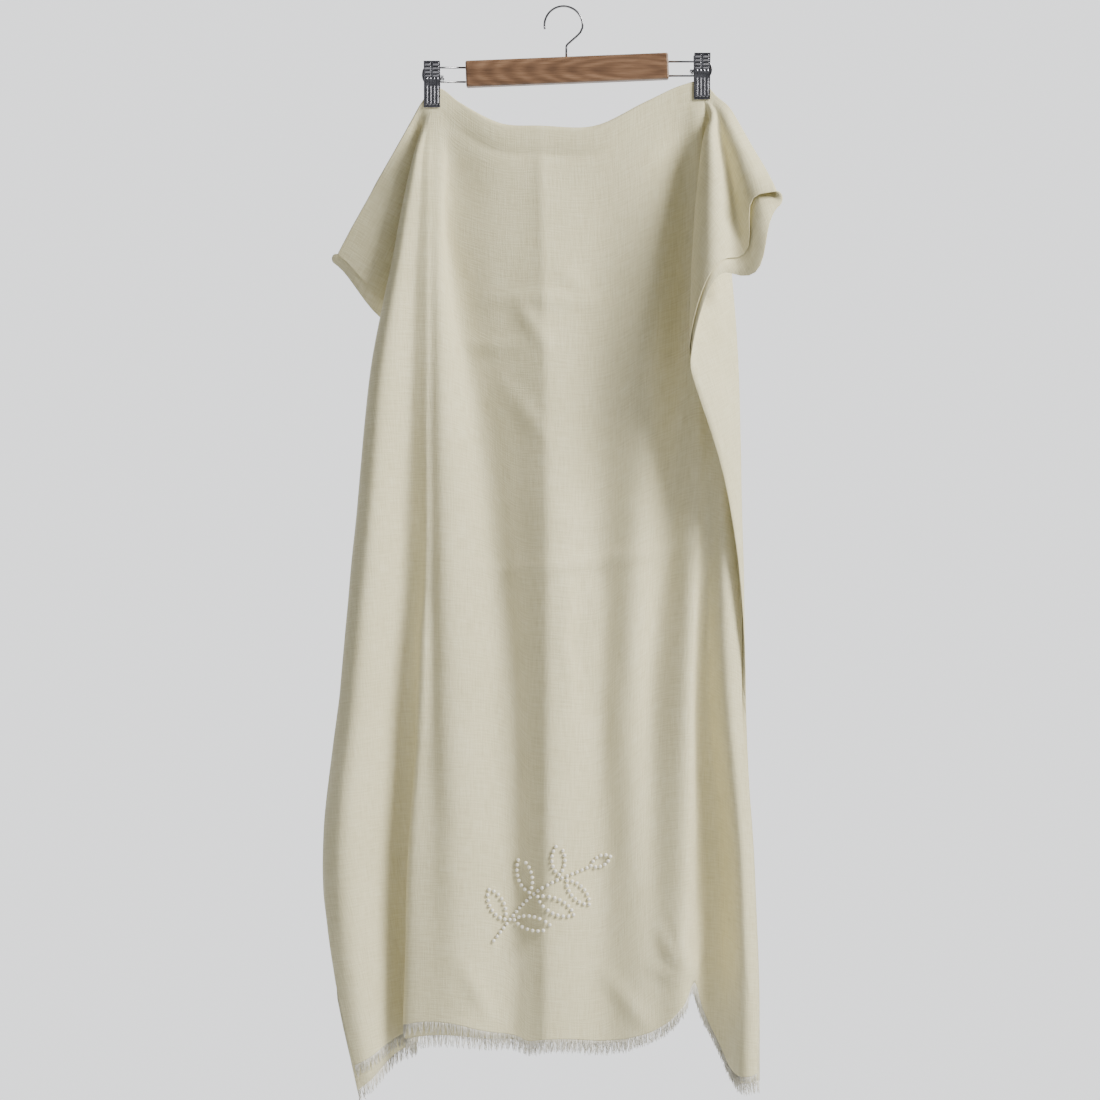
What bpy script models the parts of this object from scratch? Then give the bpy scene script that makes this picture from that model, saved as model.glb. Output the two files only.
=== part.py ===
"""Evening stole folded over and hung on a wooden clip hanger, as one part.

The stole is one rectangle of cloth, folded in half across its length, with the fold up. Two clips
hold it by the fold, so the cloth between them hangs as a panel, and the cloth outside each clip
falls away as a wing that doubles over on itself. Units are metres, +Z is up and -Y is the front.
The origin is where the hanger's hook sits on a rail.
"""

import math
from collections import namedtuple

import bmesh
import bpy
import numpy as np
from mathutils import Matrix, Vector

MM = 0.001

# The hanger: the hook, the bar and the clips, as seen from the front.
WIRE = 0.0023
HOOK_RADIUS = 0.0205
HOOK_CENTRE_X = 0.0016
HOOK_TIP_TURN = 12
HOOK_SIDE_TURN = -8
HOOK_STEM = ((0.0205, -0.0262), (0.0160, -0.0310), (0.0080, -0.0380), (0.0050, -0.0412), (0.0046, -0.0450))
BAR_SIZE = (0.218, 0.014, 0.028)
BAR_CENTRE = (0.0055, 0.0, -0.068)
BAR_TILT = math.radians(2.3)
BAR_BEVEL = 0.0018
RAIL_WIRE = 0.0021
RAIL_HEIGHTS = {"left": (-0.0650, -0.0804), "right": (-0.0586, -0.0739)}
RAIL_PAST_CLIP = 0.0100
RAIL_TURN_SQUASH = 0.45
LEAF_WIDTH = 0.0175
LEAF_THICKNESS = 0.0010
SPRING_RADIUS = 0.0030
SPRING_LENGTH = 0.0200
SPRING_INWARD = 0.0032
SEAT_GAP = 0.0003

# The inner face of a clip's leaf, as half the jaw's opening and height above the cloth's fold.
LEAF_PROFILE = (
    (0.0024, -0.0210),
    (0.0024, 0.0022),
    (0.0028, 0.0050),
    (0.0034, 0.0080),
    (0.0037, 0.0125),
    (0.0066, 0.0215),
    (0.0084, 0.0280),
)

# Where the fold of the cloth sits in the two clips.
CLIP_LEFT = Vector((-0.1397, 0.0, -0.0871))
CLIP_RIGHT = Vector((0.1505, 0.0, -0.0785))

# The cloth: its cut, its wall and how far apart its two falls hang.
PANEL_CUT = 0.312
WING_CUT = {"left": (0.205, 0.215), "right": (0.164, 0.172)}
WALL = 0.0012
NEAR_CLIP_HALF_GAP = 0.0009
HALF_GAP = 0.0013
ROLL_HALF_GAP = 0.0042
ROLL_DEPTH = 0.020

# Levels are distances below the fold, in millimetres. Every fold line has a value at each.
LEVELS = (0, 22, 40, 60, 120, 200, 300, 450, 650, 850, 970, 1090)

# A fold line of a wing: the angle on the flat cloth that it runs at, where it is a true fold or
# edge, then how far outside the clip and how far in front of it it hangs at each level.
Line = namedtuple("Line", "name angle out fore")

LEFT_LINES = (
    Line("top edge", 90,
         (0, 12, 21, 31, 61, 100, 146, 160, 160, 160, 160, 160),
         (0, 0, -4, -8, -20, -30, -50, -70, -80, -90, -90, -90)),
    Line("wing crest", None,
         (0, 10, 18, 22, 43, 72, 106, 120, 120, 120, 120, 120),
         (0, 0, -7, -12, -18, -26, -40, -60, -76, -84, -84, -84)),
    Line("wing root", None,
         (0, 8.5, 14, 8, 14, 24, 34, 40, 40, 40, 40, 40),
         (0, 0, -9, -17, -30, -42, -54, -66, -76, -84, -84, -84)),
    Line("hidden fold", 43.8,
         (0, 6.4, 10, -13, -28, -50, -78, -90, -90, -90, -90, -90),
         (0, 0, -8, -16, -30, -44, -52, -64, -74, -84, -84, -84)),
    Line("hidden strand", None,
         (0, 4, 9.5, 1, 1, -2, -8, -24, -30, -20, 112, 92),
         (0, 0, -5, -8, -14, -22, -30, -38, -52, -62, -22, -20)),
    Line("outer fold", 13.3,
         (0, 2.2, 8.5, 15, 29, 44, 63, 79, 98, 115, 102, 78),
         (0, 0, -2, -1, -1, -3, -5, -7, -9, -10, -6, -2)),
    Line("flap crest", None,
         (0, 1.6, 6.5, 12.5, 24, 37, 53, 66, 84, 99, 88, 67),
         (0, 0, -1, 3, 4, 6, 8, 8, 6, 4, 2, 0)),
    Line("groove", None,
         (0, 1, 4, 8, 12, 17, 20, 22, 26, 28, 29, 29),
         (0, 0, 0, 1, 1, 0, -4, -15, -26, -32, -33, -33)),
    Line("groove turn", None,
         (0, 0.7, 3, 6, 8.5, 11, 12, 12, 16, 18, 18, 18),
         (0, 0, 0, 1, 1.5, 1.5, -1, -9, -19, -25, -27, -27)),
    Line("panel edge", None,
         (0, 0.5, 2, 4, 5, 5, 4, 2, 11, 26, 29, 30),
         (0, 0, 0, 1, 2, 3, 2, -2, -4, -4, -5, -6)),
)

RIGHT_LINES = (
    Line("top edge", 90,
         (0, 14, 27, 37, 60, 81, 109, 134, 140, 140, 140, 140),
         (0, 0, 5, 11, 34, 84, 106, 120, 120, 120, 120, 120)),
    Line("wing outer crest", None,
         (0, 11, 21, 28, 47, 67, 90, 104, 104, 104, 104, 104),
         (0, 0, 8, 19, 46, 78, 102, 120, 120, 120, 120, 120)),
    Line("wing valley", None,
         (0, 8, 15, 17, 27, 36, 44, 50, 50, 50, 50, 50),
         (0, 0, 6, 12, 28, 52, 80, 100, 100, 100, 100, 100)),
    Line("wing inner crest", None,
         (0, 5.5, 11, 9, 10, 8, 8, 8, 20, 40, 60, 60),
         (0, 0, 8, 21, 48, 68, 88, 104, 110, 110, 110, 110)),
    Line("front fold", 33.5,
         (0, 4, 9, 3, -5, -11, -16, -22, -10, 84, 76, 76),
         (0, 0, 4, 12, 24, 42, 62, 78, 84, -40, -30, -30)),
    Line("middle strand", None,
         (0, 3, 8.5, 10, 12, 16, 20, 22, 40, 72, 70, 70),
         (0, 0, 0, 4, 8, 15, 24, 34, 22, -24, -20, -20)),
    Line("outer fold", 16.5,
         (0, 2, 7.5, 13, 21, 30, 37.5, 42, 44, 58, 63, 64),
         (0, 0, -3, -4, -6, -6, -5, -4, -5, -10, -12, -12)),
    Line("column crest", None,
         (0, 1.4, 5, 9, 15, 22, 27, 22, 28, 45, 49, 50),
         (0, 0, -2, -4, -4, -3, 0, 6, 3, 0, -1, -2)),
    Line("column valley", None,
         (0, 0.8, 2.5, 5, 8, 12, 15, 10, 7, 19, 20, 20),
         (0, 0, -1, -4, -5, -6, -5, -3, -24, -39, -42, -42)),
    Line("valley turn", None,
         (0, 0.4, 1.2, 2.5, 4, 6, 7, 3, -4, 3, 4, 4),
         (0, 0, -0.5, -2.5, -4, -5, -5, -5, -21, -38, -42, -42)),
)

# A line of the panel: its place across the cut panel where it is fixed, then where it hangs to the
# right of the hook and how far in front of the clips.
PanelLine = namedtuple("PanelLine", "name cut across fore")

PANEL_LINES = (
    PanelLine("left clip line", 0.0,
              (-139.7, -139.7, -139.7, -139.7, -139.7, -139.7, -139.7, -140, -139, -139, -139, -139),
              (0, 0, 0, 0, 1, 2, 1, -4, -5, 2, 3, 2)),
    PanelLine("left ridge", None,
              (-131, -131, -131, -130, -131, -134, -134, -132, -128, -120, -118, -118),
              (0, 0, -1, -2, -1, 3, 4, 1, 3, 7, 6, 5)),
    PanelLine("left valley", None,
              (-112, -113, -118, -122, -128, -120, -100, -76, -56, -52, -54, -56),
              (0, -1, -4, -8, -10, -13, -17, -20, -19, -12, -8, -6)),
    PanelLine("left slope", None,
              (-66, -66, -68, -70, -72, -67, -56, -45, -36, -35, -36, -37),
              (0, 0, -1, -2, -3, -5, -7, -9, -8, -5, -3, -2)),
    PanelLine("pressed crease", 0.5,
              (-23, -23, -23, -22.5, -21, -19, -17, -15, -15, -17, -18, -18),
              (0, 0, 0, 1, 2, 3, 4, 4, 4, 3, 2, 1)),
    PanelLine("centre hollow", None,
              (36, 36, 36, 37, 40, 42, 42, 40, 42, 46, 48, 48),
              (0, 0, -1, -2, -4, -7, -11, -15, -15, -11, -8, -6)),
    PanelLine("right ridge", None,
              (92, 93, 96, 99, 102, 100, 95, 84, 76, 80, 84, 86),
              (0, 0, -1, -1, -1, -1, -1, -2, -3, -4, -2, 0)),
    PanelLine("right valley", None,
              (122, 125, 129, 133, 136, 136, 132, 119, 98, 100, 104, 106),
              (0, -1, -3, -7, -10, -13, -15, -18, -15, -6, -1, 1)),
    PanelLine("right clip line", 1.0,
              (150.5, 150.5, 150.5, 150.5, 150, 149, 148, 146, 138, 132, 130, 130),
              (0, 0, 0, -1, -2, -3, -3, -4, 1, 2, 4, 5)),
)

# The fold between the clips sags: places across, in millimetres, and heights below the hook.
SAG_ACROSS = (-139.7, -131, -116, -100, -80, -54, -33, -12, 12, 28, 45, 67, 89, 111, 133, 141, 150.5)
SAG_BELOW = (87.1, 88, 99, 112, 124, 131, 132, 130.5, 132, 133, 128, 116, 104, 93, 81.5, 78.5, 78.5)

# The hem: how far below the fold each fall is woven, at places across the cut cloth measured from
# the pressed crease. The dip on the right is where a tack gathers the hem up.
Hem = namedtuple("Hem", "across front back")
HEM = (
    Hem(-375, 1036, 1062),
    Hem(-250, 1016, 1031),
    Hem(-156, 1003, 1018),
    Hem(-123, 1005, 1017),
    Hem(-101, 1009, 1018),
    Hem(-78, 1009, 1016),
    Hem(-55, 1002, 1007),
    Hem(-33, 988, 992),
    Hem(0, 978, 981),
    Hem(47, 977, 980),
    Hem(68, 983, 986),
    Hem(88, 994, 996),
    Hem(109, 1004, 1004),
    Hem(127, 1010, 1009),
    Hem(143, 1007, 1005),
    Hem(156, 995, 992),
    Hem(168, 982, 978),
    Hem(188, 974, 970),
    Hem(204, 982, 978),
    Hem(228, 1016, 1016),
    Hem(250, 1046, 1050),
    Hem(345, 1058, 1066),
)
FRINGE_LENGTH = 0.0145
FRINGE_STRIP = 0.0022
FRINGE_GAP = 0.0008
FRINGE_THICK = 0.0008
STRANDS_A_FALL = 84
STRAND_WIDTH = 0.0020
STRAND_SWAY = 0.0008
STRAND_UNEVEN = 0.10

# The corner of the front fall's right wing curls in and leaves a mouth.
MOUTH_DEPTH = 0.026
MOUTH_AT = 0.034
MOUTH_SPREAD = 0.026
MOUTH_LIFT = 0.006

# The selvedges of the wings hang in a soft belly: how far it reaches on the front and back falls,
# the angle on the flat cloth where it is fullest, and how many degrees it spreads.
Belly = namedtuple("Belly", "front back angle spread")
BELLY = {"left": Belly(0.022, 0.030, 70, 12), "right": Belly(0.030, 0.045, 70, 14)}

# How the wall is divided: columns across between the fixed lines, and rows down.
WING_COLUMNS = (10, 7, 13)
CORNER_CLEAR = 0.006
PANEL_COLUMNS = (8, 9)
ROWS_NEAR = (22, 40, 60, 88)
ROWS_BELOW = (0.06, 0.14, 0.235, 0.345, 0.465, 0.59, 0.72, 0.86, 1.0)
NORMAL_BLENDS = 2
FINE_STEP = 10
SAMPLES = 16
# How evenly the curve across a level is run through its points, and how sharply the lesser of two
# angles takes over from the other.
CHORD_POWER = 0.9
LEAST_POWER = 10


def hermite(at, values, where):
    """A smooth curve through values, read at each place of where, with the ends held straight."""
    at = np.asarray(at, float)
    values = np.asarray(values, float)
    where = np.clip(np.asarray(where, float), at[0], at[-1])
    steps = np.diff(at)
    slopes = (np.diff(values, axis=0).T / steps).T
    tangents = np.empty_like(values)
    tangents[0] = slopes[0]
    tangents[-1] = slopes[-1]
    before = steps[:-1]
    after = steps[1:]
    tangents[1:-1] = ((slopes[:-1].T * after + slopes[1:].T * before) / (before + after)).T
    i = np.clip(np.searchsorted(at, where, side="right") - 1, 0, len(at) - 2)
    t = (where - at[i]) / steps[i]
    shape = t.shape + (1,) * (values.ndim - 1)
    step = steps[i].reshape(shape)
    t = t.reshape(shape)
    return (
        (2 * t**3 - 3 * t**2 + 1) * values[i]
        + (t**3 - 2 * t**2 + t) * step * tangents[i]
        + (3 * t**2 - 2 * t**3) * values[i + 1]
        + (t**3 - t**2) * step * tangents[i + 1]
    )


def smoothstep(low, high, value):
    t = np.clip((np.asarray(value, float) - low) / (high - low), 0, 1)
    return t * t * (3 - 2 * t)


def fold_height(across):
    """Height of the fold between the clips, in metres."""
    return -hermite(SAG_ACROSS, SAG_BELOW, across / MM) * MM


def edge_angle(side, level):
    """The flat angle at which the selvedge of the back fall crosses a level, in degrees."""
    cut = WING_CUT[side][1]
    return math.degrees(math.asin(min(1.0, cut / max(level, cut))))


def soft_least(a, b):
    """The lesser of two numbers, rounded over where they are nearly the same."""
    return (a**-LEAST_POWER + b**-LEAST_POWER) ** (-1 / LEAST_POWER)


def wing_points(side, level):
    """Points of one wing's fold lines at a level, from the top edge in to the clip line."""
    lines, clip, outward = (
        (LEFT_LINES, CLIP_LEFT, -1) if side == "left" else (RIGHT_LINES, CLIP_RIGHT, 1)
    )
    points = []
    for line in lines:
        out = float(hermite(LEVELS, line.out, level / MM)) * MM
        fore = float(hermite(LEVELS, line.fore, level / MM)) * MM
        drop = math.sqrt(max(level**2 - out**2 - fore**2, 0.0))
        points.append((clip.x + outward * out, -fore, clip.z - drop))
    return points


def panel_points(level):
    points = []
    for line in PANEL_LINES:
        across = float(hermite(LEVELS, line.across, level / MM)) * MM
        fore = float(hermite(LEVELS, line.fore, level / MM)) * MM
        top = fold_height(line.across[0] * MM)
        points.append((across, -fore, top - level))
    return points


def flat_places(level):
    """Where each line lies across the flat cloth, as left wing 0 to 1, panel 1 to 2, right 2 to 3.

    Lines that are free to slide have None.
    """
    places = []
    for line in LEFT_LINES:
        if line.angle is None:
            places.append(None)
        elif line.name == "outer fold":
            places.append(1 - soft_least(line.angle, edge_angle("left", level)) / 90)
        else:
            places.append(1 - line.angle / 90)
    for line in PANEL_LINES:
        places.append(None if line.cut is None else 1 + line.cut)
    for line in reversed(RIGHT_LINES):
        if line.angle is None:
            places.append(None)
        elif line.name == "outer fold":
            places.append(2 + soft_least(line.angle, edge_angle("right", level)) / 90)
        else:
            places.append(2 + line.angle / 90)
    return places


def section(level, columns):
    """The curve of the cloth at one level, read at the given places across the flat cloth."""
    points = np.array(
        wing_points("left", level) + panel_points(level) + wing_points("right", level)[::-1]
    )
    chords = np.linalg.norm(np.diff(points, axis=0), axis=1) + 1e-5
    knots = np.concatenate([[0], np.cumsum(chords**CHORD_POWER)])
    fine = np.concatenate(
        [np.linspace(a, b, SAMPLES, endpoint=False) for a, b in zip(knots[:-1], knots[1:])]
        + [knots[-1:]]
    )
    curve = hermite(knots, points, fine)
    length = np.concatenate([[0], np.cumsum(np.linalg.norm(np.diff(curve, axis=0), axis=1) + 1e-9)])
    fixed = [(place, length[i * SAMPLES]) for i, place in enumerate(flat_places(level))
             if place is not None]
    where = np.interp(columns, [place for place, _ in fixed], [at for _, at in fixed])
    return np.stack([np.interp(where, length, curve[:, axis]) for axis in range(3)], axis=1)


def hem_level(place, fall):
    """How far below the fold a fall ends at a place across the flat cloth, and along its ray."""
    lengths = [getattr(row, fall) for row in HEM]
    half = PANEL_CUT / 2
    if 1 <= place <= 2:
        across = (place - 1.5) * PANEL_CUT
        return float(hermite([row.across for row in HEM], lengths, across / MM)) * MM
    side = "left" if place < 1 else "right"
    sign = -1 if place < 1 else 1
    angle = math.radians(90 * (1 - place if place < 1 else place - 2))
    cut = WING_CUT[side][0 if fall == "front" else 1]
    drop = 1.0
    for _ in range(12):
        across = sign * (half + min(drop * math.tan(min(angle, 1.5)), cut))
        drop = float(hermite([row.across for row in HEM], lengths, across / MM)) * MM
    corner = math.atan2(cut, drop)
    if angle <= corner + 1e-9:
        return drop / math.cos(angle)
    ray = cut / math.sin(angle)
    if side == "right" and fall == "front":
        below = ray * math.cos(angle)
        ray -= MOUTH_DEPTH * math.exp(-(((below - MOUTH_AT) / MOUTH_SPREAD) ** 2))
    belly = BELLY[side]
    away = (math.degrees(angle) - belly.angle) / belly.spread
    return ray + getattr(belly, fall) * math.exp(-(away**2))


def corner_place(side, fall):
    """The place across at which a fall's selvedge meets its hem."""
    cut = WING_CUT[side][0 if fall == "front" else 1]
    row = HEM[0] if side == "left" else HEM[-1]
    angle = math.degrees(math.atan2(cut, getattr(row, fall) * MM)) / 90
    return 1 - angle if side == "left" else 2 + angle


def column_places():
    """Places of the wall's columns, closer together beside the folds, with each corner's own."""
    outer, hidden, inner = WING_COLUMNS

    def eased(start, end, count):
        t = np.linspace(0, 1, count + 1)
        return start + (end - start) * (0.6 * t + 0.4 * t * t * (3 - 2 * t))

    left_fold = 1 - 13.3 / 90
    left_hidden = 1 - 43.8 / 90
    right_fold = 2 + 16.5 / 90
    right_front = 2 + 33.5 / 90
    parts = [
        eased(0, left_hidden, outer),
        eased(left_hidden, left_fold, hidden),
        eased(left_fold, 1, inner),
        eased(1, 1.5, PANEL_COLUMNS[0]),
        eased(1.5, 2, PANEL_COLUMNS[1]),
        eased(2, right_fold, inner),
        eased(right_fold, right_front, hidden),
        eased(right_front, 3, outer),
    ]
    places = np.concatenate([parts[0]] + [part[1:] for part in parts[1:]])
    for side in ("left", "right"):
        corners = sorted(corner_place(side, fall) for fall in ("front", "back"))
        middle = sum(corners) / 2
        places = places[np.abs(places - middle) > CORNER_CLEAR]
        places = np.sort(np.concatenate([places, corners]))
    return places


def half_gap(place, level):
    """Half the distance between the two falls."""
    clips = min(abs(place - 1), abs(place - 2)) if 1 < place < 2 else 0.0
    away = max(float(smoothstep(0.03, 0.16, level)), float(smoothstep(0.1, 0.3, clips)))
    gap = NEAR_CLIP_HALF_GAP + (HALF_GAP - NEAR_CLIP_HALF_GAP) * away
    roll = float(smoothstep(0.08, 0.3, clips)) * math.exp(-((level / ROLL_DEPTH) ** 2))
    return gap + (ROLL_HALF_GAP - HALF_GAP) * roll


class Drape:
    """The middle surface of the folded stole, tabled at fine levels for a set of columns."""

    def __init__(self, places):
        self.places = places
        self.levels = np.concatenate(
            [[0.5, 6, 12, 18, 22, 26, 31], np.arange(36, 1120, FINE_STEP)]
        ) * MM
        self.table = np.array([section(level, places) for level in self.levels])
        down = np.gradient(self.table, self.levels, axis=0)
        across = np.gradient(self.table, axis=1)
        normals = np.cross(down, across)
        normals /= np.linalg.norm(normals, axis=2, keepdims=True) + 1e-12
        for _ in range(NORMAL_BLENDS):
            normals[:, 1:-1] = (normals[:, :-2] + 2 * normals[:, 1:-1] + normals[:, 2:]) / 4
        front = np.array([0.0, -1.0, 0.0])
        sure = smoothstep(0.014, 0.040, self.levels)[:, None, None]
        normals = front * (1 - sure) + normals * sure
        self.normals = normals / np.linalg.norm(normals, axis=2, keepdims=True)
        self.across = across

    def point(self, column, level):
        return hermite(self.levels, self.table[:, column], level)

    def normal(self, column, level):
        found = hermite(self.levels, self.normals[:, column], level)
        return found / np.linalg.norm(found)


def row_levels(place, fall):
    """Levels of the rows down one column, the same for both falls but for the last."""
    near = [row * MM for row in ROWS_NEAR]
    shared = min(hem_level(place, "front"), hem_level(place, "back"))
    levels = near + [near[-1] + (shared - near[-1]) * share for share in ROWS_BELOW]
    return levels[:-1] + [hem_level(place, fall)]


def lift(place, level, fall):
    """How much farther out a fall stands at the open corner of the right wing."""
    if place < 2 or fall != "front":
        return 0.0
    angle = math.radians(90 * (place - 2))
    below = level * math.cos(angle)
    near_edge = smoothstep(0.45, 1.0, level * math.sin(angle) / WING_CUT["right"][0])
    return MOUTH_LIFT * float(near_edge) * math.exp(-((below / 0.05) ** 2))


def layer_grid(drape, fall):
    """Points of one fall, as rows down for each column, leaving out the fold itself."""
    side = 1 if fall == "front" else -1
    grid = []
    for i, place in enumerate(drape.places):
        column = []
        for level in row_levels(place, fall):
            gap = half_gap(place, level) + lift(place, level, fall)
            column.append(drape.point(i, level) + side * gap * drape.normal(i, level))
        grid.append(column)
    return grid


def fold_station(point, normal, outward, gap):
    """Points over the fold at one place along it, from the front fall to the back one."""
    turns = [0, math.pi / 3, 2 * math.pi / 3, math.pi]
    return [point + gap * (math.cos(t) * normal + math.sin(t) * outward) for t in turns]


def unit(vector):
    return vector / (np.linalg.norm(vector) + 1e-12)


def make_sheet():
    """The open middle sheet of the wall: front fall, fold and back fall."""
    drape = Drape(column_places())
    grids = {fall: layer_grid(drape, fall) for fall in ("front", "back")}
    bm = bmesh.new()
    front = np.array([0.0, -1.0, 0.0])
    up = np.array([0.0, 0.0, 1.0])
    places = drape.places
    first = int(np.argmin(np.abs(places - 1)))
    last = int(np.argmin(np.abs(places - 2)))

    def vertices(points):
        return [bm.verts.new(point) for point in points]

    # Along the fold: out from the left wing's tip to its clip, over the panel, and out again.
    def wing_stations(column, inner):
        stations = []
        front_levels = row_levels(places[column], "front")
        back_levels = row_levels(places[column], "back")
        for a, b in zip(front_levels, back_levels):
            level = (a + b) / 2
            outward = unit(drape.point(column, level) - drape.point(inner, level))
            normal = drape.normal(column, level)
            outward = unit(outward - np.dot(outward, normal) * normal)
            gap = half_gap(places[column], level)
            arc = fold_station(drape.point(column, level), normal, outward, gap)
            stations.append(arc[1:-1])
        return stations

    verts = {
        fall: [vertices(column) for column in grids[fall]] for fall in grids
    }
    tops = {"front": {}, "back": {}}
    arcs = {}
    for column in range(first, last + 1):
        point = drape.point(column, 0.0005)
        arc = fold_station(point, front, up, half_gap(places[column], 0.0))
        made = vertices(arc)
        tops["front"][column] = made[0]
        tops["back"][column] = made[-1]
        arcs[column] = made[1:-1]

    def join(a, b):
        for k in range(len(a) - 1):
            bm.faces.new((a[k], a[k + 1], b[k + 1], b[k]))

    count = len(places)
    for fall in ("front", "back"):
        for column in range(count - 1):
            join(verts[fall][column], verts[fall][column + 1])
        for column in range(first, last):
            a = verts[fall][column][0]
            b = verts[fall][column + 1][0]
            bm.faces.new((tops[fall][column], a, b, tops[fall][column + 1]))
        for start, end, top in ((0, first, first), (last, count - 1, last)):
            for column in range(start, end):
                bm.faces.new((tops[fall][top], verts[fall][column][0], verts[fall][column + 1][0]))
    for column in range(first, last):
        ring_a = [tops["front"][column]] + arcs[column] + [tops["back"][column]]
        ring_b = [tops["front"][column + 1]] + arcs[column + 1] + [tops["back"][column + 1]]
        join(ring_a, ring_b)
    for column, inner, clip_column in ((0, 1, first), (count - 1, count - 2, last)):
        rings = [
            [verts["front"][column][row]] + vertices(middle) + [verts["back"][column][row]]
            for row, middle in enumerate(wing_stations(column, inner))
        ]
        apex = [tops["front"][clip_column]] + arcs[clip_column] + [tops["back"][clip_column]]
        rings.insert(0, apex)
        for a, b in zip(rings[:-1], rings[1:]):
            join(a, b)
    bmesh.ops.recalc_face_normals(bm, faces=bm.faces)
    mesh = bpy.data.meshes.new("stole_cloth")
    bm.to_mesh(mesh)
    bm.free()
    return mesh, drape


def principled(name, colour, roughness, metallic=0.0):
    material = bpy.data.materials.new(name)
    material.use_nodes = True
    shader = material.node_tree.nodes["Principled BSDF"]
    shader.inputs["Base Color"].default_value = (*colour, 1.0)
    shader.inputs["Roughness"].default_value = roughness
    shader.inputs["Metallic"].default_value = metallic
    return material


def add_object(name, data, collection, material):
    obj = bpy.data.objects.new(name, data)
    data.materials.append(material)
    collection.objects.link(obj)
    return obj


def add_cloth(collection, material):
    mesh, drape = make_sheet()
    cloth = add_object("stole_cloth", mesh, collection, material)
    mesh.shade_smooth()
    wall = cloth.modifiers.new("wall", "SOLIDIFY")
    wall.thickness = WALL
    wall.offset = 0.0
    return drape


def hem_line(drape, fall):
    """Points along a fall's hem, with the directions out of the cloth and down its threads."""
    side = 1 if fall == "front" else -1
    first = int(np.argmin(np.abs(drape.places - corner_place("left", fall))))
    last = int(np.argmin(np.abs(drape.places - corner_place("right", fall))))
    points, normals, downs = [], [], []
    for i in range(first, last + 1):
        place = drape.places[i]
        level = hem_level(place, fall)
        normal = drape.normal(i, level)
        down = unit(drape.point(i, level) - drape.point(i, level - 0.03))
        points.append(drape.point(i, level) + side * half_gap(place, level) * normal)
        normals.append(normal)
        downs.append(down)
    return np.array(points), np.array(normals), np.array(downs)


def add_fringe(collection, material, drape, fall):
    """A narrow strip just under a hem, with a row of threads that taper to a point."""
    points, normals, downs = hem_line(drape, fall)
    length = np.concatenate([[0], np.cumsum(np.linalg.norm(np.diff(points, axis=0), axis=1))])
    pitch = length[-1] / STRANDS_A_FALL
    roots = []
    for start, end in zip(length[:-1], length[1:]):
        count = int(round((end - start) / pitch))
        roots += [start + (end - start) * (k + 0.5) / count - STRAND_WIDTH / 2 for k in range(count)]
    ends = [root + STRAND_WIDTH for root in roots]
    stops = sorted(roots + ends + list(length))
    is_root = [stop in set(roots) for stop in stops]

    def along(values):
        return np.stack([np.interp(stops, length, values[:, axis]) for axis in range(3)], axis=1)

    tangents = np.gradient(points, axis=0)
    tangents /= np.linalg.norm(tangents, axis=1, keepdims=True)
    aways = downs - (downs * tangents).sum(axis=1, keepdims=True) * tangents
    aways /= np.linalg.norm(aways, axis=1, keepdims=True)
    at, normal, down, away = along(points), along(normals), along(downs), along(aways)
    bm = bmesh.new()
    rings = []
    for p, n, a in zip(at, normal, away):
        top = p + a * FRINGE_GAP
        low = top + a * FRINGE_STRIP
        half = n * FRINGE_THICK / 2
        rings.append([bm.verts.new(v) for v in (top + half, top - half, low - half, low + half)])
    for k, (a, b) in enumerate(zip(rings[:-1], rings[1:])):
        for i in range(4):
            j = (i + 1) % 4
            if i == 2 and is_root[k]:
                wave = STRAND_SWAY * math.sin(2.4 * k)
                reach = FRINGE_LENGTH - FRINGE_GAP - FRINGE_STRIP
                reach *= 1 + STRAND_UNEVEN * math.sin(1.7 * k)
                middle = sum((v.co for v in (a[2], a[3], b[2], b[3])), Vector()) / 4
                across = (b[2].co - a[2].co).normalized()
                tip = bm.verts.new(middle + Vector(down[k]) * reach + across * wave)
                for u, v in ((a[2], a[3]), (a[3], b[3]), (b[3], b[2]), (b[2], a[2])):
                    bm.faces.new((u, v, tip))
            else:
                bm.faces.new((a[i], a[j], b[j], b[i]))
    bm.faces.new(rings[0])
    bm.faces.new(rings[-1])
    bmesh.ops.recalc_face_normals(bm, faces=bm.faces)
    mesh = bpy.data.meshes.new("fringe_" + fall)
    bm.to_mesh(mesh)
    bm.free()
    add_object("fringe_" + fall, mesh, collection, material)


def wire(name, points, radius, collection, material):
    """A round wire through the points, with closed ends."""
    curve = bpy.data.curves.new(name, "CURVE")
    curve.dimensions = "3D"
    curve.bevel_depth = radius
    curve.bevel_resolution = 2
    curve.use_fill_caps = True
    spline = curve.splines.new("POLY")
    spline.points.add(len(points) - 1)
    for knot, point in zip(spline.points, points):
        knot.co = (*point, 1.0)
    return add_object(name, curve, collection, material)


def arc_points(centre, radius, start, end, count):
    """Points on an upright arc, with angles in degrees from +X towards +Z."""
    turns = np.radians(np.linspace(start, end, count))
    return [(centre[0] + radius * math.cos(t), 0.0, centre[1] + radius * math.sin(t)) for t in turns]


def add_bar(collection, material):
    bpy.ops.mesh.primitive_cube_add(size=1.0)
    bar = bpy.context.object
    bar.name = "hanger_bar"
    bar.data.name = "hanger_bar"
    bar.data.transform(Matrix.Diagonal((*BAR_SIZE, 1.0)))
    bar.location = BAR_CENTRE
    bar.rotation_euler.y = -BAR_TILT
    bevel = bar.modifiers.new("eased edges", "BEVEL")
    bevel.width = BAR_BEVEL
    bevel.segments = 2
    bar.data.materials.append(material)
    move_to(bar, collection)


def move_to(obj, collection):
    for old in list(obj.users_collection):
        old.objects.unlink(obj)
    collection.objects.link(obj)


def bar_top(x):
    """Height of the bar's upper face above the origin at x."""
    along = (x - BAR_CENTRE[0]) / math.cos(BAR_TILT)
    return BAR_CENTRE[2] + along * math.sin(BAR_TILT) + BAR_SIZE[2] / 2 / math.cos(BAR_TILT)


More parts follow.
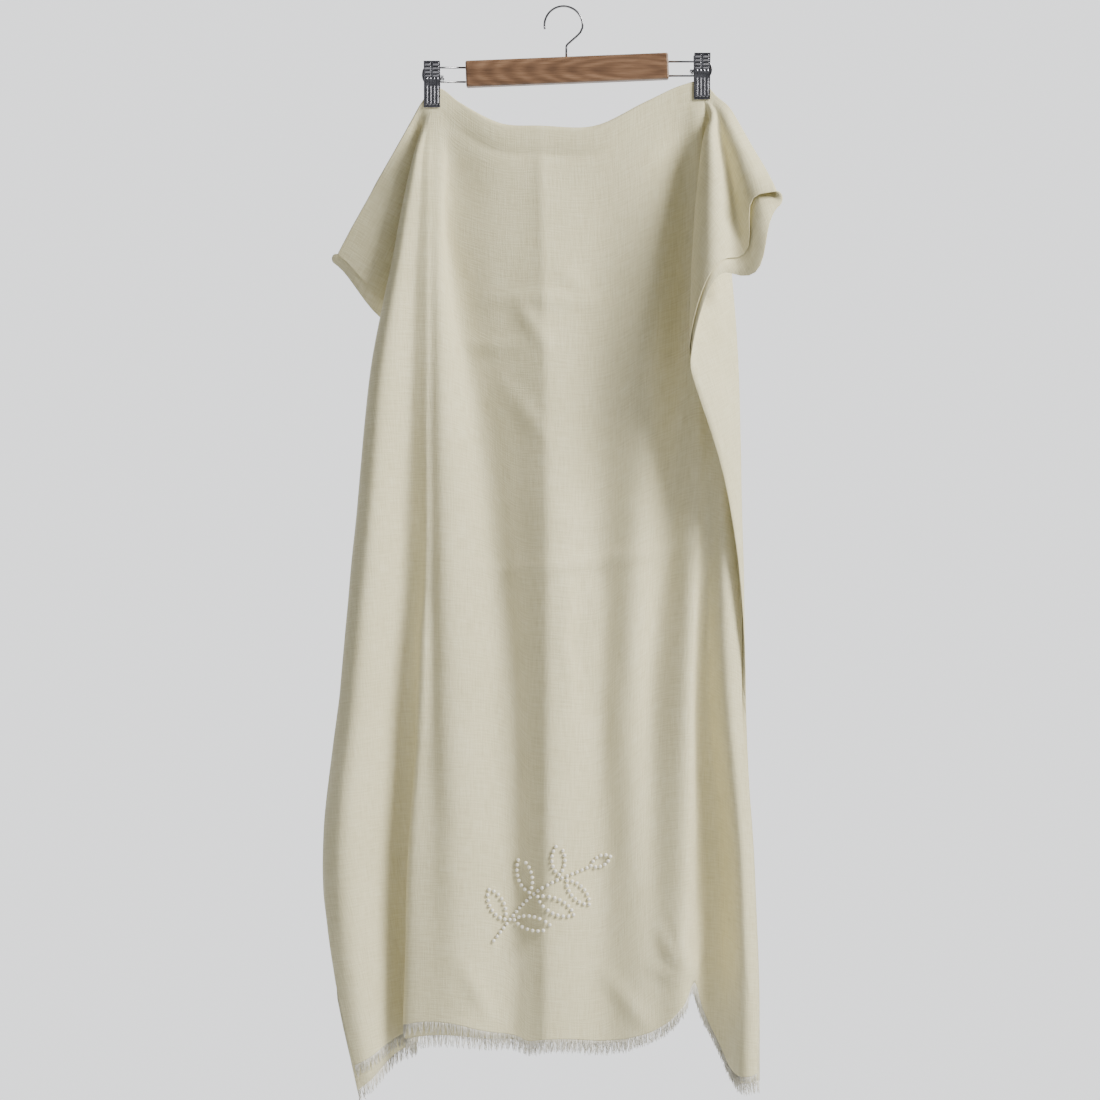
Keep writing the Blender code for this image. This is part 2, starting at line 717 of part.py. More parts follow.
def add_hook(collection, material):
    centre = (HOOK_CENTRE_X, WIRE / 2 - HOOK_RADIUS)
    points = arc_points(centre, HOOK_RADIUS, 180 + HOOK_TIP_TURN, HOOK_SIDE_TURN, 26)
    points += [(x, 0.0, z) for x, z in HOOK_STEM]
    foot = HOOK_STEM[-1][0]
    points.append((foot, 0.0, bar_top(foot) + SEAT_GAP))
    wire("hanger_hook", points, WIRE / 2, collection, material)


def bar_end(side, height):
    """Where the bar's end face is across, at a height above the origin."""
    sign = -1 if side == "left" else 1
    middle = BAR_CENTRE[0] + sign * BAR_SIZE[0] / 2 * math.cos(BAR_TILT)
    centre_height = BAR_CENTRE[2] + sign * BAR_SIZE[0] / 2 * math.sin(BAR_TILT)
    return middle - (height - centre_height) * math.tan(BAR_TILT)


def add_rail(side, clip, collection, material):
    """The bent wire that carries a clip: out of the bar's end, round past the clip and back."""
    sign = -1 if side == "left" else 1
    upper, lower = RAIL_HEIGHTS[side]
    radius = (upper - lower) / 2
    clear = sign * (SEAT_GAP + RAIL_WIRE / 2 * math.tan(BAR_TILT))
    turn = clip.x + sign * (RAIL_PAST_CLIP - radius * RAIL_TURN_SQUASH)
    bend = []
    for t in np.radians(np.linspace(90, -90, 9)):
        x = turn + sign * radius * RAIL_TURN_SQUASH * math.cos(t)
        bend.append((x, 0.0, (upper + lower) / 2 + radius * math.sin(t)))
    points = [(bar_end(side, upper) + clear, 0.0, upper)] + bend
    points.append((bar_end(side, lower) + clear, 0.0, lower))
    wire("clip_rail_" + side, points, RAIL_WIRE / 2, collection, material)


def add_leaf(side, face, clip, collection, material):
    """One bent leaf of a clip: jaw below, finger end above."""
    outward = -1 if face == "front" else 1
    bm = bmesh.new()
    rows = []
    for opening, height in LEAF_PROFILE:
        y = outward * opening
        rows.append([bm.verts.new((edge * LEAF_WIDTH / 2, y, height)) for edge in (-1, 1)])
    for a, b in zip(rows[:-1], rows[1:]):
        bm.faces.new((a[0], a[1], b[1], b[0]) if face == "front" else (a[0], b[0], b[1], a[1]))
    mesh = bpy.data.meshes.new("clip_" + side + "_" + face)
    bm.to_mesh(mesh)
    bm.free()
    leaf = add_object("clip_" + side + "_" + face, mesh, collection, material)
    leaf.location = clip
    solidify = leaf.modifiers.new("plate", "SOLIDIFY")
    solidify.thickness = LEAF_THICKNESS
    solidify.offset = 1.0
    solidify.use_even_offset = True


def add_spring(side, clip, collection, material):
    """The coil spring between the leaves, resting on the lower run of the rail."""
    inward = 1 if side == "left" else -1
    bpy.ops.mesh.primitive_cylinder_add(
        vertices=16, radius=SPRING_RADIUS, depth=SPRING_LENGTH, rotation=(0, math.pi / 2, 0)
    )
    spring = bpy.context.object
    spring.name = "clip_" + side + "_spring"
    height = RAIL_HEIGHTS[side][1] + RAIL_WIRE / 2 + SEAT_GAP + SPRING_RADIUS
    spring.location = (clip.x + inward * SPRING_INWARD, 0.0, height)
    spring.data.materials.append(material)
    move_to(spring, collection)


def main():
    for obj in list(bpy.data.objects):
        bpy.data.objects.remove(obj, do_unlink=True)
    collection = bpy.data.collections.new("evening_stole_on_clip_hanger")
    bpy.context.scene.collection.children.link(collection)
    cream = principled("cream_wool", (0.76, 0.70, 0.55), 0.85)
    thread = principled("fringe_thread", (0.72, 0.68, 0.56), 0.85)
    wood = principled("bar_wood", (0.42, 0.20, 0.09), 0.45)
    steel = principled("bright_steel", (0.62, 0.62, 0.64), 0.22, 1.0)
    dark_steel = principled("clip_steel", (0.30, 0.30, 0.32), 0.28, 1.0)
    drape = add_cloth(collection, cream)
    for fall in ("front", "back"):
        add_fringe(collection, thread, drape, fall)
    add_bar(collection, wood)
    add_hook(collection, steel)
    for side, clip in (("left", CLIP_LEFT), ("right", CLIP_RIGHT)):
        add_rail(side, clip, collection, steel)
        add_spring(side, clip, collection, steel)
        for face in ("front", "back"):
            add_leaf(side, face, clip, collection, dark_steel)


main()
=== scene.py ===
"""Looks of the evening stole on its clip hanger.

The cloth repeats the fold lines of the part's own source, in metres, and adds its creases, weave,
fringe threads and bead design. +Z is up, -Y is the front, and the origin is the hook's seat.
"""

import math
import random
from collections import namedtuple

import bmesh
import bpy
import numpy as np
from mathutils import Matrix, Vector, noise
from mathutils.bvhtree import BVHTree


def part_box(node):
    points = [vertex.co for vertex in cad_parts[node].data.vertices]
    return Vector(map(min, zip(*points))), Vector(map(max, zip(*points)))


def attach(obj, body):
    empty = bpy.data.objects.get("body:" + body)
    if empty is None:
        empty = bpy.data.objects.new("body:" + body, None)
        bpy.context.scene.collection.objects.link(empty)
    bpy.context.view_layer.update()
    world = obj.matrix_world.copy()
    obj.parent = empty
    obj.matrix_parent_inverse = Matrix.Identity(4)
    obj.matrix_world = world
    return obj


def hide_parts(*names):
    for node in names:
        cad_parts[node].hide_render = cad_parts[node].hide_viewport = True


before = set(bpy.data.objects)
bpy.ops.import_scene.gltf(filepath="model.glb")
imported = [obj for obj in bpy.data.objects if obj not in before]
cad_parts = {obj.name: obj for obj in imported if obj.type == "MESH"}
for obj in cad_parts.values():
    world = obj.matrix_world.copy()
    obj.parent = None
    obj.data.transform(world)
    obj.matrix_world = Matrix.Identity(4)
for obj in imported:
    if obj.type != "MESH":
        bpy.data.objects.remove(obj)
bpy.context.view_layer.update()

MM = 0.001

# The hanger: the hook, the bar and the clips, as seen from the front.
WIRE = 0.0023
HOOK_RADIUS = 0.0205
HOOK_CENTRE_X = 0.0016
HOOK_TIP_TURN = 12
HOOK_SIDE_TURN = -8
HOOK_STEM = ((0.0205, -0.0262), (0.0160, -0.0310), (0.0080, -0.0380), (0.0050, -0.0412), (0.0046, -0.0450))
BAR_SIZE = (0.218, 0.014, 0.028)
BAR_CENTRE = (0.0055, 0.0, -0.068)
BAR_TILT = math.radians(2.3)
BAR_BEVEL = 0.0018
RAIL_WIRE = 0.0021
RAIL_HEIGHTS = {"left": (-0.0650, -0.0804), "right": (-0.0586, -0.0739)}
RAIL_PAST_CLIP = 0.0100
RAIL_TURN_SQUASH = 0.45
LEAF_WIDTH = 0.0175
LEAF_THICKNESS = 0.0010
SPRING_RADIUS = 0.0030
SPRING_LENGTH = 0.0200
SPRING_INWARD = 0.0032
SEAT_GAP = 0.0003

# The inner face of a clip's leaf, as half the jaw's opening and height above the cloth's fold.
LEAF_PROFILE = (
    (0.0024, -0.0210),
    (0.0024, 0.0022),
    (0.0028, 0.0050),
    (0.0034, 0.0080),
    (0.0037, 0.0125),
    (0.0066, 0.0215),
    (0.0084, 0.0280),
)

# Where the fold of the cloth sits in the two clips.
CLIP_LEFT = Vector((-0.1397, 0.0, -0.0871))
CLIP_RIGHT = Vector((0.1505, 0.0, -0.0785))

# The cloth: its cut, its wall and how far apart its two falls hang.
PANEL_CUT = 0.312
WING_CUT = {"left": (0.205, 0.215), "right": (0.164, 0.172)}
WALL = 0.0012
NEAR_CLIP_HALF_GAP = 0.0009
HALF_GAP = 0.0013
ROLL_HALF_GAP = 0.0042
ROLL_DEPTH = 0.020

# Levels are distances below the fold, in millimetres. Every fold line has a value at each.
LEVELS = (0, 22, 40, 60, 120, 200, 300, 450, 650, 850, 970, 1090)

# A fold line of a wing: the angle on the flat cloth that it runs at, where it is a true fold or
# edge, then how far outside the clip and how far in front of it it hangs at each level.
Line = namedtuple("Line", "name angle out fore")

LEFT_LINES = (
    Line("top edge", 90,
         (0, 12, 21, 31, 61, 100, 146, 160, 160, 160, 160, 160),
         (0, 0, -4, -8, -20, -30, -50, -70, -80, -90, -90, -90)),
    Line("wing crest", None,
         (0, 10, 18, 22, 43, 72, 106, 120, 120, 120, 120, 120),
         (0, 0, -7, -12, -18, -26, -40, -60, -76, -84, -84, -84)),
    Line("wing root", None,
         (0, 8.5, 14, 8, 14, 24, 34, 40, 40, 40, 40, 40),
         (0, 0, -9, -17, -30, -42, -54, -66, -76, -84, -84, -84)),
    Line("hidden fold", 43.8,
         (0, 6.4, 10, -13, -28, -50, -78, -90, -90, -90, -90, -90),
         (0, 0, -8, -16, -30, -44, -52, -64, -74, -84, -84, -84)),
    Line("hidden strand", None,
         (0, 4, 9.5, 1, 1, -2, -8, -24, -30, -20, 112, 92),
         (0, 0, -5, -8, -14, -22, -30, -38, -52, -62, -22, -20)),
    Line("outer fold", 13.3,
         (0, 2.2, 8.5, 15, 29, 44, 63, 79, 98, 115, 102, 78),
         (0, 0, -2, -1, -1, -3, -5, -7, -9, -10, -6, -2)),
    Line("flap crest", None,
         (0, 1.6, 6.5, 12.5, 24, 37, 53, 66, 84, 99, 88, 67),
         (0, 0, -1, 3, 4, 6, 8, 8, 6, 4, 2, 0)),
    Line("groove", None,
         (0, 1, 4, 8, 12, 17, 20, 22, 26, 28, 29, 29),
         (0, 0, 0, 1, 1, 0, -4, -15, -26, -32, -33, -33)),
    Line("groove turn", None,
         (0, 0.7, 3, 6, 8.5, 11, 12, 12, 16, 18, 18, 18),
         (0, 0, 0, 1, 1.5, 1.5, -1, -9, -19, -25, -27, -27)),
    Line("panel edge", None,
         (0, 0.5, 2, 4, 5, 5, 4, 2, 11, 26, 29, 30),
         (0, 0, 0, 1, 2, 3, 2, -2, -4, -4, -5, -6)),
)

RIGHT_LINES = (
    Line("top edge", 90,
         (0, 14, 27, 37, 60, 81, 109, 134, 140, 140, 140, 140),
         (0, 0, 5, 11, 34, 84, 106, 120, 120, 120, 120, 120)),
    Line("wing outer crest", None,
         (0, 11, 21, 28, 47, 67, 90, 104, 104, 104, 104, 104),
         (0, 0, 8, 19, 46, 78, 102, 120, 120, 120, 120, 120)),
    Line("wing valley", None,
         (0, 8, 15, 17, 27, 36, 44, 50, 50, 50, 50, 50),
         (0, 0, 6, 12, 28, 52, 80, 100, 100, 100, 100, 100)),
    Line("wing inner crest", None,
         (0, 5.5, 11, 9, 10, 8, 8, 8, 20, 40, 60, 60),
         (0, 0, 8, 21, 48, 68, 88, 104, 110, 110, 110, 110)),
    Line("front fold", 33.5,
         (0, 4, 9, 3, -5, -11, -16, -22, -10, 84, 76, 76),
         (0, 0, 4, 12, 24, 42, 62, 78, 84, -40, -30, -30)),
    Line("middle strand", None,
         (0, 3, 8.5, 10, 12, 16, 20, 22, 40, 72, 70, 70),
         (0, 0, 0, 4, 8, 15, 24, 34, 22, -24, -20, -20)),
    Line("outer fold", 16.5,
         (0, 2, 7.5, 13, 21, 30, 37.5, 42, 44, 58, 63, 64),
         (0, 0, -3, -4, -6, -6, -5, -4, -5, -10, -12, -12)),
    Line("column crest", None,
         (0, 1.4, 5, 9, 15, 22, 27, 22, 28, 45, 49, 50),
         (0, 0, -2, -4, -4, -3, 0, 6, 3, 0, -1, -2)),
    Line("column valley", None,
         (0, 0.8, 2.5, 5, 8, 12, 15, 10, 7, 19, 20, 20),
         (0, 0, -1, -4, -5, -6, -5, -3, -24, -39, -42, -42)),
    Line("valley turn", None,
         (0, 0.4, 1.2, 2.5, 4, 6, 7, 3, -4, 3, 4, 4),
         (0, 0, -0.5, -2.5, -4, -5, -5, -5, -21, -38, -42, -42)),
)

# A line of the panel: its place across the cut panel where it is fixed, then where it hangs to the
# right of the hook and how far in front of the clips.
PanelLine = namedtuple("PanelLine", "name cut across fore")

PANEL_LINES = (
    PanelLine("left clip line", 0.0,
              (-139.7, -139.7, -139.7, -139.7, -139.7, -139.7, -139.7, -140, -139, -139, -139, -139),
              (0, 0, 0, 0, 1, 2, 1, -4, -5, 2, 3, 2)),
    PanelLine("left ridge", None,
              (-131, -131, -131, -130, -131, -134, -134, -132, -128, -120, -118, -118),
              (0, 0, -1, -2, -1, 3, 4, 1, 3, 7, 6, 5)),
    PanelLine("left valley", None,
              (-112, -113, -118, -122, -128, -120, -100, -76, -56, -52, -54, -56),
              (0, -1, -4, -8, -10, -13, -17, -20, -19, -12, -8, -6)),
    PanelLine("left slope", None,
              (-66, -66, -68, -70, -72, -67, -56, -45, -36, -35, -36, -37),
              (0, 0, -1, -2, -3, -5, -7, -9, -8, -5, -3, -2)),
    PanelLine("pressed crease", 0.5,
              (-23, -23, -23, -22.5, -21, -19, -17, -15, -15, -17, -18, -18),
              (0, 0, 0, 1, 2, 3, 4, 4, 4, 3, 2, 1)),
    PanelLine("centre hollow", None,
              (36, 36, 36, 37, 40, 42, 42, 40, 42, 46, 48, 48),
              (0, 0, -1, -2, -4, -7, -11, -15, -15, -11, -8, -6)),
    PanelLine("right ridge", None,
              (92, 93, 96, 99, 102, 100, 95, 84, 76, 80, 84, 86),
              (0, 0, -1, -1, -1, -1, -1, -2, -3, -4, -2, 0)),
    PanelLine("right valley", None,
              (122, 125, 129, 133, 136, 136, 132, 119, 98, 100, 104, 106),
              (0, -1, -3, -7, -10, -13, -15, -18, -15, -6, -1, 1)),
    PanelLine("right clip line", 1.0,
              (150.5, 150.5, 150.5, 150.5, 150, 149, 148, 146, 138, 132, 130, 130),
              (0, 0, 0, -1, -2, -3, -3, -4, 1, 2, 4, 5)),
)

# The fold between the clips sags: places across, in millimetres, and heights below the hook.
SAG_ACROSS = (-139.7, -131, -116, -100, -80, -54, -33, -12, 12, 28, 45, 67, 89, 111, 133, 141, 150.5)
SAG_BELOW = (87.1, 88, 99, 112, 124, 131, 132, 130.5, 132, 133, 128, 116, 104, 93, 81.5, 78.5, 78.5)

# The hem: how far below the fold each fall is woven, at places across the cut cloth measured from
# the pressed crease. The dip on the right is where a tack gathers the hem up.
Hem = namedtuple("Hem", "across front back")
HEM = (
    Hem(-375, 1036, 1062),
    Hem(-250, 1016, 1031),
    Hem(-156, 1003, 1018),
    Hem(-123, 1005, 1017),
    Hem(-101, 1009, 1018),
    Hem(-78, 1009, 1016),
    Hem(-55, 1002, 1007),
    Hem(-33, 988, 992),
    Hem(0, 978, 981),
    Hem(47, 977, 980),
    Hem(68, 983, 986),
    Hem(88, 994, 996),
    Hem(109, 1004, 1004),
    Hem(127, 1010, 1009),
    Hem(143, 1007, 1005),
    Hem(156, 995, 992),
    Hem(168, 982, 978),
    Hem(188, 974, 970),
    Hem(204, 982, 978),
    Hem(228, 1016, 1016),
    Hem(250, 1046, 1050),
    Hem(345, 1058, 1066),
)
FRINGE_LENGTH = 0.0145
FRINGE_STRIP = 0.0022
FRINGE_GAP = 0.0008
FRINGE_THICK = 0.0008
STRANDS_A_FALL = 84
STRAND_WIDTH = 0.0020
STRAND_SWAY = 0.0008
STRAND_UNEVEN = 0.10

# The corner of the front fall's right wing curls in and leaves a mouth.
MOUTH_DEPTH = 0.026
MOUTH_AT = 0.034
MOUTH_SPREAD = 0.026
MOUTH_LIFT = 0.006

# The selvedges of the wings hang in a soft belly: how far it reaches on the front and back falls,
# the angle on the flat cloth where it is fullest, and how many degrees it spreads.
Belly = namedtuple("Belly", "front back angle spread")
BELLY = {"left": Belly(0.022, 0.030, 70, 12), "right": Belly(0.030, 0.045, 70, 14)}

# How the wall is divided: columns across between the fixed lines, and rows down.
WING_COLUMNS = (10, 7, 13)
CORNER_CLEAR = 0.006
PANEL_COLUMNS = (8, 9)
ROWS_NEAR = (22, 40, 60, 88)
ROWS_BELOW = (0.06, 0.14, 0.235, 0.345, 0.465, 0.59, 0.72, 0.86, 1.0)
NORMAL_BLENDS = 2
FINE_STEP = 10
SAMPLES = 16
# How evenly the curve across a level is run through its points, and how sharply the lesser of two
# angles takes over from the other.
CHORD_POWER = 0.9
LEAST_POWER = 10


def hermite(at, values, where):
    """A smooth curve through values, read at each place of where, with the ends held straight."""
    at = np.asarray(at, float)
    values = np.asarray(values, float)
    where = np.clip(np.asarray(where, float), at[0], at[-1])
    steps = np.diff(at)
    slopes = (np.diff(values, axis=0).T / steps).T
    tangents = np.empty_like(values)
    tangents[0] = slopes[0]
    tangents[-1] = slopes[-1]
    before = steps[:-1]
    after = steps[1:]
    tangents[1:-1] = ((slopes[:-1].T * after + slopes[1:].T * before) / (before + after)).T
    i = np.clip(np.searchsorted(at, where, side="right") - 1, 0, len(at) - 2)
    t = (where - at[i]) / steps[i]
    shape = t.shape + (1,) * (values.ndim - 1)
    step = steps[i].reshape(shape)
    t = t.reshape(shape)
    return (
        (2 * t**3 - 3 * t**2 + 1) * values[i]
        + (t**3 - 2 * t**2 + t) * step * tangents[i]
        + (3 * t**2 - 2 * t**3) * values[i + 1]
        + (t**3 - t**2) * step * tangents[i + 1]
    )


def smoothstep(low, high, value):
    t = np.clip((np.asarray(value, float) - low) / (high - low), 0, 1)
    return t * t * (3 - 2 * t)


def fold_height(across):
    """Height of the fold between the clips, in metres."""
    return -hermite(SAG_ACROSS, SAG_BELOW, across / MM) * MM


def edge_angle(side, level):
    """The flat angle at which the selvedge of the back fall crosses a level, in degrees."""
    cut = WING_CUT[side][1]
    return math.degrees(math.asin(min(1.0, cut / max(level, cut))))


def soft_least(a, b):
    """The lesser of two numbers, rounded over where they are nearly the same."""
    return (a**-LEAST_POWER + b**-LEAST_POWER) ** (-1 / LEAST_POWER)


def wing_points(side, level):
    """Points of one wing's fold lines at a level, from the top edge in to the clip line."""
    lines, clip, outward = (
        (LEFT_LINES, CLIP_LEFT, -1) if side == "left" else (RIGHT_LINES, CLIP_RIGHT, 1)
    )
    points = []
    for line in lines:
        out = float(hermite(LEVELS, line.out, level / MM)) * MM
        fore = float(hermite(LEVELS, line.fore, level / MM)) * MM
        drop = math.sqrt(max(level**2 - out**2 - fore**2, 0.0))
        points.append((clip.x + outward * out, -fore, clip.z - drop))
    return points


def panel_points(level):
    points = []
    for line in PANEL_LINES:
        across = float(hermite(LEVELS, line.across, level / MM)) * MM
        fore = float(hermite(LEVELS, line.fore, level / MM)) * MM
        top = fold_height(line.across[0] * MM)
        points.append((across, -fore, top - level))
    return points


def flat_places(level):
    """Where each line lies across the flat cloth, as left wing 0 to 1, panel 1 to 2, right 2 to 3.

    Lines that are free to slide have None.
    """
    places = []
    for line in LEFT_LINES:
        if line.angle is None:
            places.append(None)
        elif line.name == "outer fold":
            places.append(1 - soft_least(line.angle, edge_angle("left", level)) / 90)
        else:
            places.append(1 - line.angle / 90)
    for line in PANEL_LINES:
        places.append(None if line.cut is None else 1 + line.cut)
    for line in reversed(RIGHT_LINES):
        if line.angle is None:
            places.append(None)
        elif line.name == "outer fold":
            places.append(2 + soft_least(line.angle, edge_angle("right", level)) / 90)
        else:
            places.append(2 + line.angle / 90)
    return places


def section(level, columns):
    """The curve of the cloth at one level, read at the given places across the flat cloth."""
    points = np.array(
        wing_points("left", level) + panel_points(level) + wing_points("right", level)[::-1]
    )
    chords = np.linalg.norm(np.diff(points, axis=0), axis=1) + 1e-5
    knots = np.concatenate([[0], np.cumsum(chords**CHORD_POWER)])
    fine = np.concatenate(
        [np.linspace(a, b, SAMPLES, endpoint=False) for a, b in zip(knots[:-1], knots[1:])]
        + [knots[-1:]]
    )
    curve = hermite(knots, points, fine)
    length = np.concatenate([[0], np.cumsum(np.linalg.norm(np.diff(curve, axis=0), axis=1) + 1e-9)])
    fixed = [(place, length[i * SAMPLES]) for i, place in enumerate(flat_places(level))
             if place is not None]
    where = np.interp(columns, [place for place, _ in fixed], [at for _, at in fixed])
    return np.stack([np.interp(where, length, curve[:, axis]) for axis in range(3)], axis=1)


def hem_level(place, fall):
    """How far below the fold a fall ends at a place across the flat cloth, and along its ray."""
    lengths = [getattr(row, fall) for row in HEM]
    half = PANEL_CUT / 2
    if 1 <= place <= 2:
        across = (place - 1.5) * PANEL_CUT
        return float(hermite([row.across for row in HEM], lengths, across / MM)) * MM
    side = "left" if place < 1 else "right"
    sign = -1 if place < 1 else 1
    angle = math.radians(90 * (1 - place if place < 1 else place - 2))
    cut = WING_CUT[side][0 if fall == "front" else 1]
    drop = 1.0
    for _ in range(12):
        across = sign * (half + min(drop * math.tan(min(angle, 1.5)), cut))
        drop = float(hermite([row.across for row in HEM], lengths, across / MM)) * MM
    corner = math.atan2(cut, drop)
    if angle <= corner + 1e-9:
        return drop / math.cos(angle)
    ray = cut / math.sin(angle)
    if side == "right" and fall == "front":
        below = ray * math.cos(angle)
        ray -= MOUTH_DEPTH * math.exp(-(((below - MOUTH_AT) / MOUTH_SPREAD) ** 2))
    belly = BELLY[side]
    away = (math.degrees(angle) - belly.angle) / belly.spread
    return ray + getattr(belly, fall) * math.exp(-(away**2))


def corner_place(side, fall):
    """The place across at which a fall's selvedge meets its hem."""
    cut = WING_CUT[side][0 if fall == "front" else 1]
    row = HEM[0] if side == "left" else HEM[-1]
    angle = math.degrees(math.atan2(cut, getattr(row, fall) * MM)) / 90
    return 1 - angle if side == "left" else 2 + angle


def column_places():
    """Places of the wall's columns, closer together beside the folds, with each corner's own."""
    outer, hidden, inner = WING_COLUMNS

    def eased(start, end, count):
        t = np.linspace(0, 1, count + 1)
        return start + (end - start) * (0.6 * t + 0.4 * t * t * (3 - 2 * t))

    left_fold = 1 - 13.3 / 90
    left_hidden = 1 - 43.8 / 90
    right_fold = 2 + 16.5 / 90
    right_front = 2 + 33.5 / 90
    parts = [
        eased(0, left_hidden, outer),
        eased(left_hidden, left_fold, hidden),
        eased(left_fold, 1, inner),
        eased(1, 1.5, PANEL_COLUMNS[0]),
        eased(1.5, 2, PANEL_COLUMNS[1]),
        eased(2, right_fold, inner),
        eased(right_fold, right_front, hidden),
        eased(right_front, 3, outer),
    ]
    places = np.concatenate([parts[0]] + [part[1:] for part in parts[1:]])
    for side in ("left", "right"):
        corners = sorted(corner_place(side, fall) for fall in ("front", "back"))
        middle = sum(corners) / 2
        places = places[np.abs(places - middle) > CORNER_CLEAR]
        places = np.sort(np.concatenate([places, corners]))
    return places


def half_gap(place, level):
    """Half the distance between the two falls."""
    clips = min(abs(place - 1), abs(place - 2)) if 1 < place < 2 else 0.0
    away = max(float(smoothstep(0.03, 0.16, level)), float(smoothstep(0.1, 0.3, clips)))
    gap = NEAR_CLIP_HALF_GAP + (HALF_GAP - NEAR_CLIP_HALF_GAP) * away
    roll = float(smoothstep(0.08, 0.3, clips)) * math.exp(-((level / ROLL_DEPTH) ** 2))
    return gap + (ROLL_HALF_GAP - HALF_GAP) * roll


class Drape:
    """The middle surface of the folded stole, tabled at fine levels for a set of columns."""

    def __init__(self, places):
        self.places = places
        self.levels = np.concatenate(
            [[0.5, 6, 12, 18, 22, 26, 31], np.arange(36, 1120, FINE_STEP)]
        ) * MM
        self.table = np.array([section(level, places) for level in self.levels])
        down = np.gradient(self.table, self.levels, axis=0)
        across = np.gradient(self.table, axis=1)
        normals = np.cross(down, across)
        normals /= np.linalg.norm(normals, axis=2, keepdims=True) + 1e-12
        for _ in range(NORMAL_BLENDS):
            normals[:, 1:-1] = (normals[:, :-2] + 2 * normals[:, 1:-1] + normals[:, 2:]) / 4
        front = np.array([0.0, -1.0, 0.0])
        sure = smoothstep(0.014, 0.040, self.levels)[:, None, None]
        normals = front * (1 - sure) + normals * sure
        self.normals = normals / np.linalg.norm(normals, axis=2, keepdims=True)
        self.across = across

    def point(self, column, level):
        return hermite(self.levels, self.table[:, column], level)

    def normal(self, column, level):
        found = hermite(self.levels, self.normals[:, column], level)
        return found / np.linalg.norm(found)


def lift(place, level, fall):
    """How much farther out a fall stands at the open corner of the right wing."""
    if place < 2 or fall != "front":
        return 0.0
    angle = math.radians(90 * (place - 2))
    below = level * math.cos(angle)
    near_edge = smoothstep(0.45, 1.0, level * math.sin(angle) / WING_CUT["right"][0])
    return MOUTH_LIFT * float(near_edge) * math.exp(-((below / 0.05) ** 2))


# The scene's own cloth: a thinner shell with finer columns and rows.
SHELL = 0.0008
COLUMN_SPLITS = {"outer": 2, "hidden": 2, "inner": 3, "panel": 3}
ROW_BANDS = ((22, 34, 3), (34, 170, 9), (170, 270, 6.5), (270, 440, 10), (440, 520, 6.5), (520, 860, 10), (860, 980, 7))
ROLL_TURNS = 9

# Creases in the front view: across, below (millimetres from the hook's seat), then width and rise.
# A negative rise is a trough. Each tapers out at both ends.
Crease = namedtuple("Crease", "points width rise")
FRONT_CREASES = (
    Crease(((-88, 315), (-40, 312), (52, 318)), 7, 3.1),
    Crease(((-110, 362), (-60, 364), (-24, 358)), 7, 2.8),
    Crease(((-104, 604), (-40, 606), (62, 592), (100, 584), (143, 562)), 7, 3.5),
    Crease(((-13, 562), (30, 548), (84, 530)), 8, 2.7),
    Crease(((-50, 315), (-34, 338), (-15, 368)), 8, 3.5),
    Crease(((-61, 406), (-38, 436), (-15, 466)), 8, 3.4),
    Crease(((-8, 283), (10, 292), (25, 304)), 7, 2.4),
    Crease(((-115, 1078), (-70, 1046), (-24, 1014)), 9, 3.8),
    Crease(((-110, 1024), (-94, 1056), (-77, 1089)), 8, 3.4),
    Crease(((41, 1035), (68, 1066), (95, 1100)), 9, 3.5),
    Crease(((0, 606), (6, 640), (0, 680), (8, 720), (3, 765)), 7, 2.7),
    Crease(((28, 612), (38, 650), (30, 690), (42, 740)), 8, 2.1),
    Crease(((-150, 640), (-146, 720), (-150, 800)), 10, 2.4),
    Crease(((-66, 700), (-58, 780), (-62, 850)), 10, 2.4),
    Crease(((70, 700), (76, 800), (70, 880)), 10, -2.4),
    Crease(((141, 1042), (120, 1020), (104, 990)), 6, 3.8),
    Crease(((141, 1042), (128, 1012), (124, 980)), 6, 3.5),
    Crease(((141, 1042), (116, 1040), (90, 1030)), 6, 3.4),
    Crease(((143, 1040), (150, 1008), (150, 970)), 6, 3.4),
)
BACK_CREASES = (
    Crease(((-96, 330), (-30, 340), (40, 332)), 8, 3.1),
    Crease(((-60, 420), (-20, 436), (60, 424)), 8, 2.8),
    Crease(((-120, 590), (-30, 602), (90, 580), (130, 566)), 8, 3.5),
    Crease(((-90, 470), (-50, 520), (-36, 570)), 9, 3.4),
    Crease(((60, 300), (84, 350), (90, 410)), 9, 3.1),
    Crease(((-40, 640), (-30, 720), (-42, 800)), 10, 3.1),
    Crease(((50, 690), (58, 770), (50, 850)), 10, -2.8),
    Crease(((-110, 860), (-90, 930), (-98, 1010)), 10, 3.4),
    Crease(((20, 900), (40, 960), (36, 1030)), 9, 3.4),
    Crease(((90, 800), (100, 880), (94, 950)), 10, 2.8),
)
# The crease under the fold: its level, how deep and wide it is, and the fuller band above it.
BAND_LEVEL = 0.027
BAND_TROUGH = 0.0016
BAND_WIDTH = 0.0048
BAND_SWELL = 0.0018
SWELL_LEVEL = 0.014
SWELL_WIDTH = 0.008
PRESS_RISE = 0.0030
PRESS_WIDTH = 0.011

# Unevenness of the hung cloth: wavelength and height in metres.
RIPPLES = ((0.110, 0.0016), (0.048, 0.0008), (0.022, 0.00035))

THREADS_A_FALL = 900
THREAD_RADIUS = 0.00042
THREAD_CLUMP = 0.0062

# The pressed ribs of the clips' leaves, and the coil springs.
RIB_RISE = 0.0008
RIB_MARGIN = 0.0011
RIB_SPLIT = 0.0115
RIB_FOOT = -0.0190
CROSS_RIBS = 4
LONG_RIBS = 4
LEAF_ROWS = 110
LEAF_COLUMNS = 49
COIL_WIRE = 0.0010
COIL_TURNS = 13

